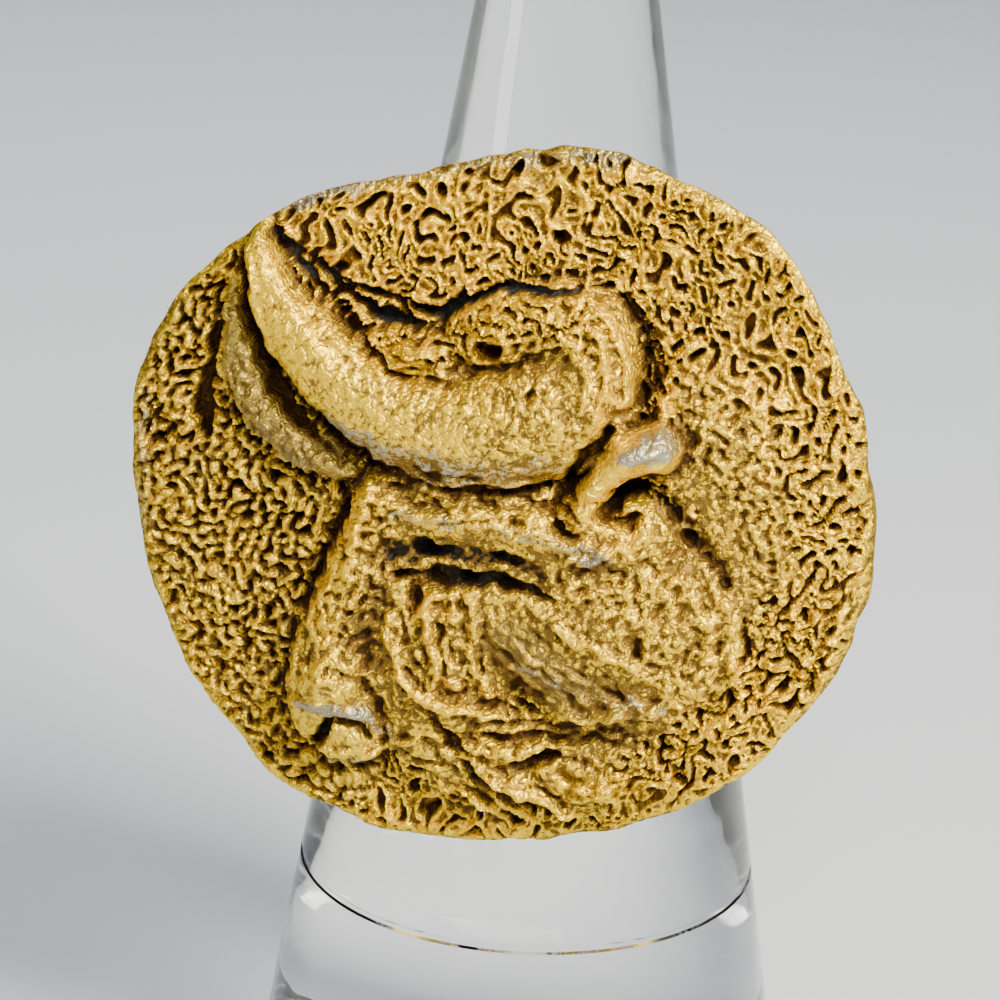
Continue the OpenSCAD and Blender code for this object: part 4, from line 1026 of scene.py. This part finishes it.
class RING_OT_add_cone(Operator):
    """Adds the clear ring cone"""

    bl_idname = "ring.add_cone"
    bl_label = "Add Ring Cone"

    # Rounding of the top's edge, and the turned line across its groove: height from its middle
    # and depth, in mm
    TIP = 1.6
    LINE = [(-0.22, 0), (-0.1, 0.1), (0.1, 0.1), (0.22, 0)]

    def execute(self, context):
        settings = context.scene.ring_cone
        foot = settings.foot_d / 2
        slope = (foot - settings.tip_d / 2) / settings.height
        lean = math.atan(slope)
        tip_z = settings.height - self.TIP
        middle = Vector((foot - slope * tip_z - self.TIP / math.cos(lean), tip_z))
        # The side from the foot's broken edge to the rounding of the top
        rows = [(0, 0), (foot - 0.4, 0), (foot - 0.14, 0.1), (foot - slope * 0.4, 0.4)]
        for z, deep in self.LINE:
            z += settings.line_z
            rows.append((foot - slope * z - deep, z))
        for i in range(11):
            angle = lean + (math.pi / 2 - lean) * i / 10
            rows.append((middle.x + self.TIP * math.cos(angle), middle.y + self.TIP * math.sin(angle)))
        rows.append((0, settings.height))
        bm = bmesh.new()
        line = [bm.verts.new((r, 0, z)) for r, z in rows]
        geom = line + [bm.edges.new(pair) for pair in zip(line, line[1:])]
        bmesh.ops.spin(
            bm, geom=geom, axis=(0, 0, 1), cent=(0, 0, 0), angle=math.tau, steps=160, use_merge=True,
        )
        bmesh.ops.remove_doubles(bm, verts=bm.verts[:], dist=0.001)
        bmesh.ops.recalc_face_normals(bm, faces=bm.faces[:])
        bm.transform(ON_CONE.inverted() @ Matrix.Scale(MM, 4))
        cone = made(bm, "ring_cone", ON_CONE)
        cone.data.set_sharp_from_angle(angle=math.radians(28))
        cone.data.materials.append(self.finish(settings))
        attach(cone, "root")
        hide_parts("ring_cone")
        return {"FINISHED"}

    def finish(self, settings):
        """Polished clear acrylic with faint handling marks."""
        clear = Finish("clear_acrylic")
        clear.give("Base Color", (*settings.tint, 1))
        clear.give("Transmission Weight", 1.0)
        clear.give("IOR", 1.49)
        clear.give("Roughness", clear.span(clear.noise(3.0, 6, 0.6), 0.45, 0.8, 0.02, 0.16))
        clear.bump(clear.noise(8.0, 2), 0.2, 0.5)
        return clear.material


class RING_OT_add_stage(Operator):
    """Adds the floor, the lights and the camera"""

    bl_idname = "ring.add_stage"
    bl_label = "Add Stage"

    # Where the lights point, in mm, then each light's place and size in mm, watts and colour
    AIM = (0, -10, 40)
    LIGHTS = {
        "key": ((215, -175, 285), 130, 4.1, (1.0, 0.94, 0.64)),
        "front": ((60, -330, 260), 60, 0.5, (1.0, 0.95, 0.8)),
        "fill": ((-340, -240, 120), 120, 0.4, (1.0, 0.95, 0.88)),
        "rim": ((-60, 260, 320), 220, 1.0, (1.0, 0.95, 0.88)),
    }
    SKY = (0.9, 0.9, 0.92, 1)
    SKY_STRENGTH = 0.1

    def execute(self, context):
        settings = context.scene.ring_stage
        self.add_floor(settings)
        self.add_lights(context, settings)
        self.add_camera(context, settings)
        return {"FINISHED"}

    def add_floor(self, settings):
        bm = bmesh.new()
        bmesh.ops.create_grid(bm, x_segments=4, y_segments=4, size=3.0)
        floor = made(bm, "floor", Matrix.Identity(4))
        paper = Finish("plain_floor")
        paper.give("Base Color", (*settings.floor, 1))
        paper.give("Roughness", 0.7)
        floor.data.materials.append(paper.material)

    def add_lights(self, context, settings):
        world = bpy.data.worlds.new("studio")
        context.scene.world = world
        world.use_nodes = True
        sky = world.node_tree.nodes["Background"]
        sky.inputs["Color"].default_value = self.SKY
        sky.inputs["Strength"].default_value = self.SKY_STRENGTH * settings.light
        for name, (place, size, power, colour) in self.LIGHTS.items():
            lamp = bpy.data.lights.new(name, "AREA")
            lamp.size = size * MM
            lamp.energy = power * settings.light
            lamp.color = colour
            obj = bpy.data.objects.new(name, lamp)
            obj.location = Vector(place) * MM
            away = obj.location - Vector(self.AIM) * MM
            obj.rotation_euler = away.to_track_quat("Z", "Y").to_euler()
            obj.visible_camera = False
            context.collection.objects.link(obj)

    def add_camera(self, context, settings):
        a, e, roll = settings.azimuth, settings.elevation, settings.roll
        back = Vector((math.sin(a) * math.cos(e), -math.cos(a) * math.cos(e), math.sin(e)))
        level = Vector((math.cos(a), math.sin(a), 0))
        upright = back.cross(level)
        right = level * math.cos(roll) + upright * math.sin(roll)
        up = upright * math.cos(roll) - level * math.sin(roll)
        camera = bpy.data.cameras.new("camera")
        camera.sensor_width = 36
        camera.lens = settings.lens
        camera.clip_start = 0.01
        obj = bpy.data.objects.new("camera", camera)
        turn = Matrix((right, up, back)).transposed().to_4x4()
        obj.matrix_world = Matrix.Translation(Vector(settings.place) * MM) @ turn
        context.collection.objects.link(obj)
        context.scene.camera = obj


GROUPS = {
    "ring_medallion": MedallionSettings, "ring_band": BandSettings,
    "ring_cone": ConeSettings, "ring_stage": StageSettings,
}
BUTTONS = (RING_OT_add_medallion, RING_OT_add_band, RING_OT_add_cone, RING_OT_add_stage)


class RING_PT_panel(Panel):
    """Lists the ring's settings and its buttons."""

    bl_label = "Cast Medallion Ring"
    bl_idname = "RING_PT_panel"
    bl_space_type = "VIEW_3D"
    bl_region_type = "UI"
    bl_category = "Ring"

    def draw(self, context):
        for name, button in zip(GROUPS, BUTTONS):
            group = getattr(context.scene, name)
            box = self.layout.box()
            for key in group.__annotations__:
                box.prop(group, key)
            box.operator(button.bl_idname)


CLASSES = (*GROUPS.values(), *BUTTONS, RING_PT_panel)


def register():
    for cls in CLASSES:
        bpy.utils.register_class(cls)
    for name, group in GROUPS.items():
        setattr(bpy.types.Scene, name, PointerProperty(type=group))


def unregister():
    for name in GROUPS:
        delattr(bpy.types.Scene, name)
    for cls in reversed(CLASSES):
        bpy.utils.unregister_class(cls)


def main():
    register()
    bpy.ops.ring.add_medallion()
    bpy.ops.ring.add_band()
    bpy.ops.ring.add_cone()
    bpy.ops.ring.add_stage()


if __name__ == "__main__":
    main()
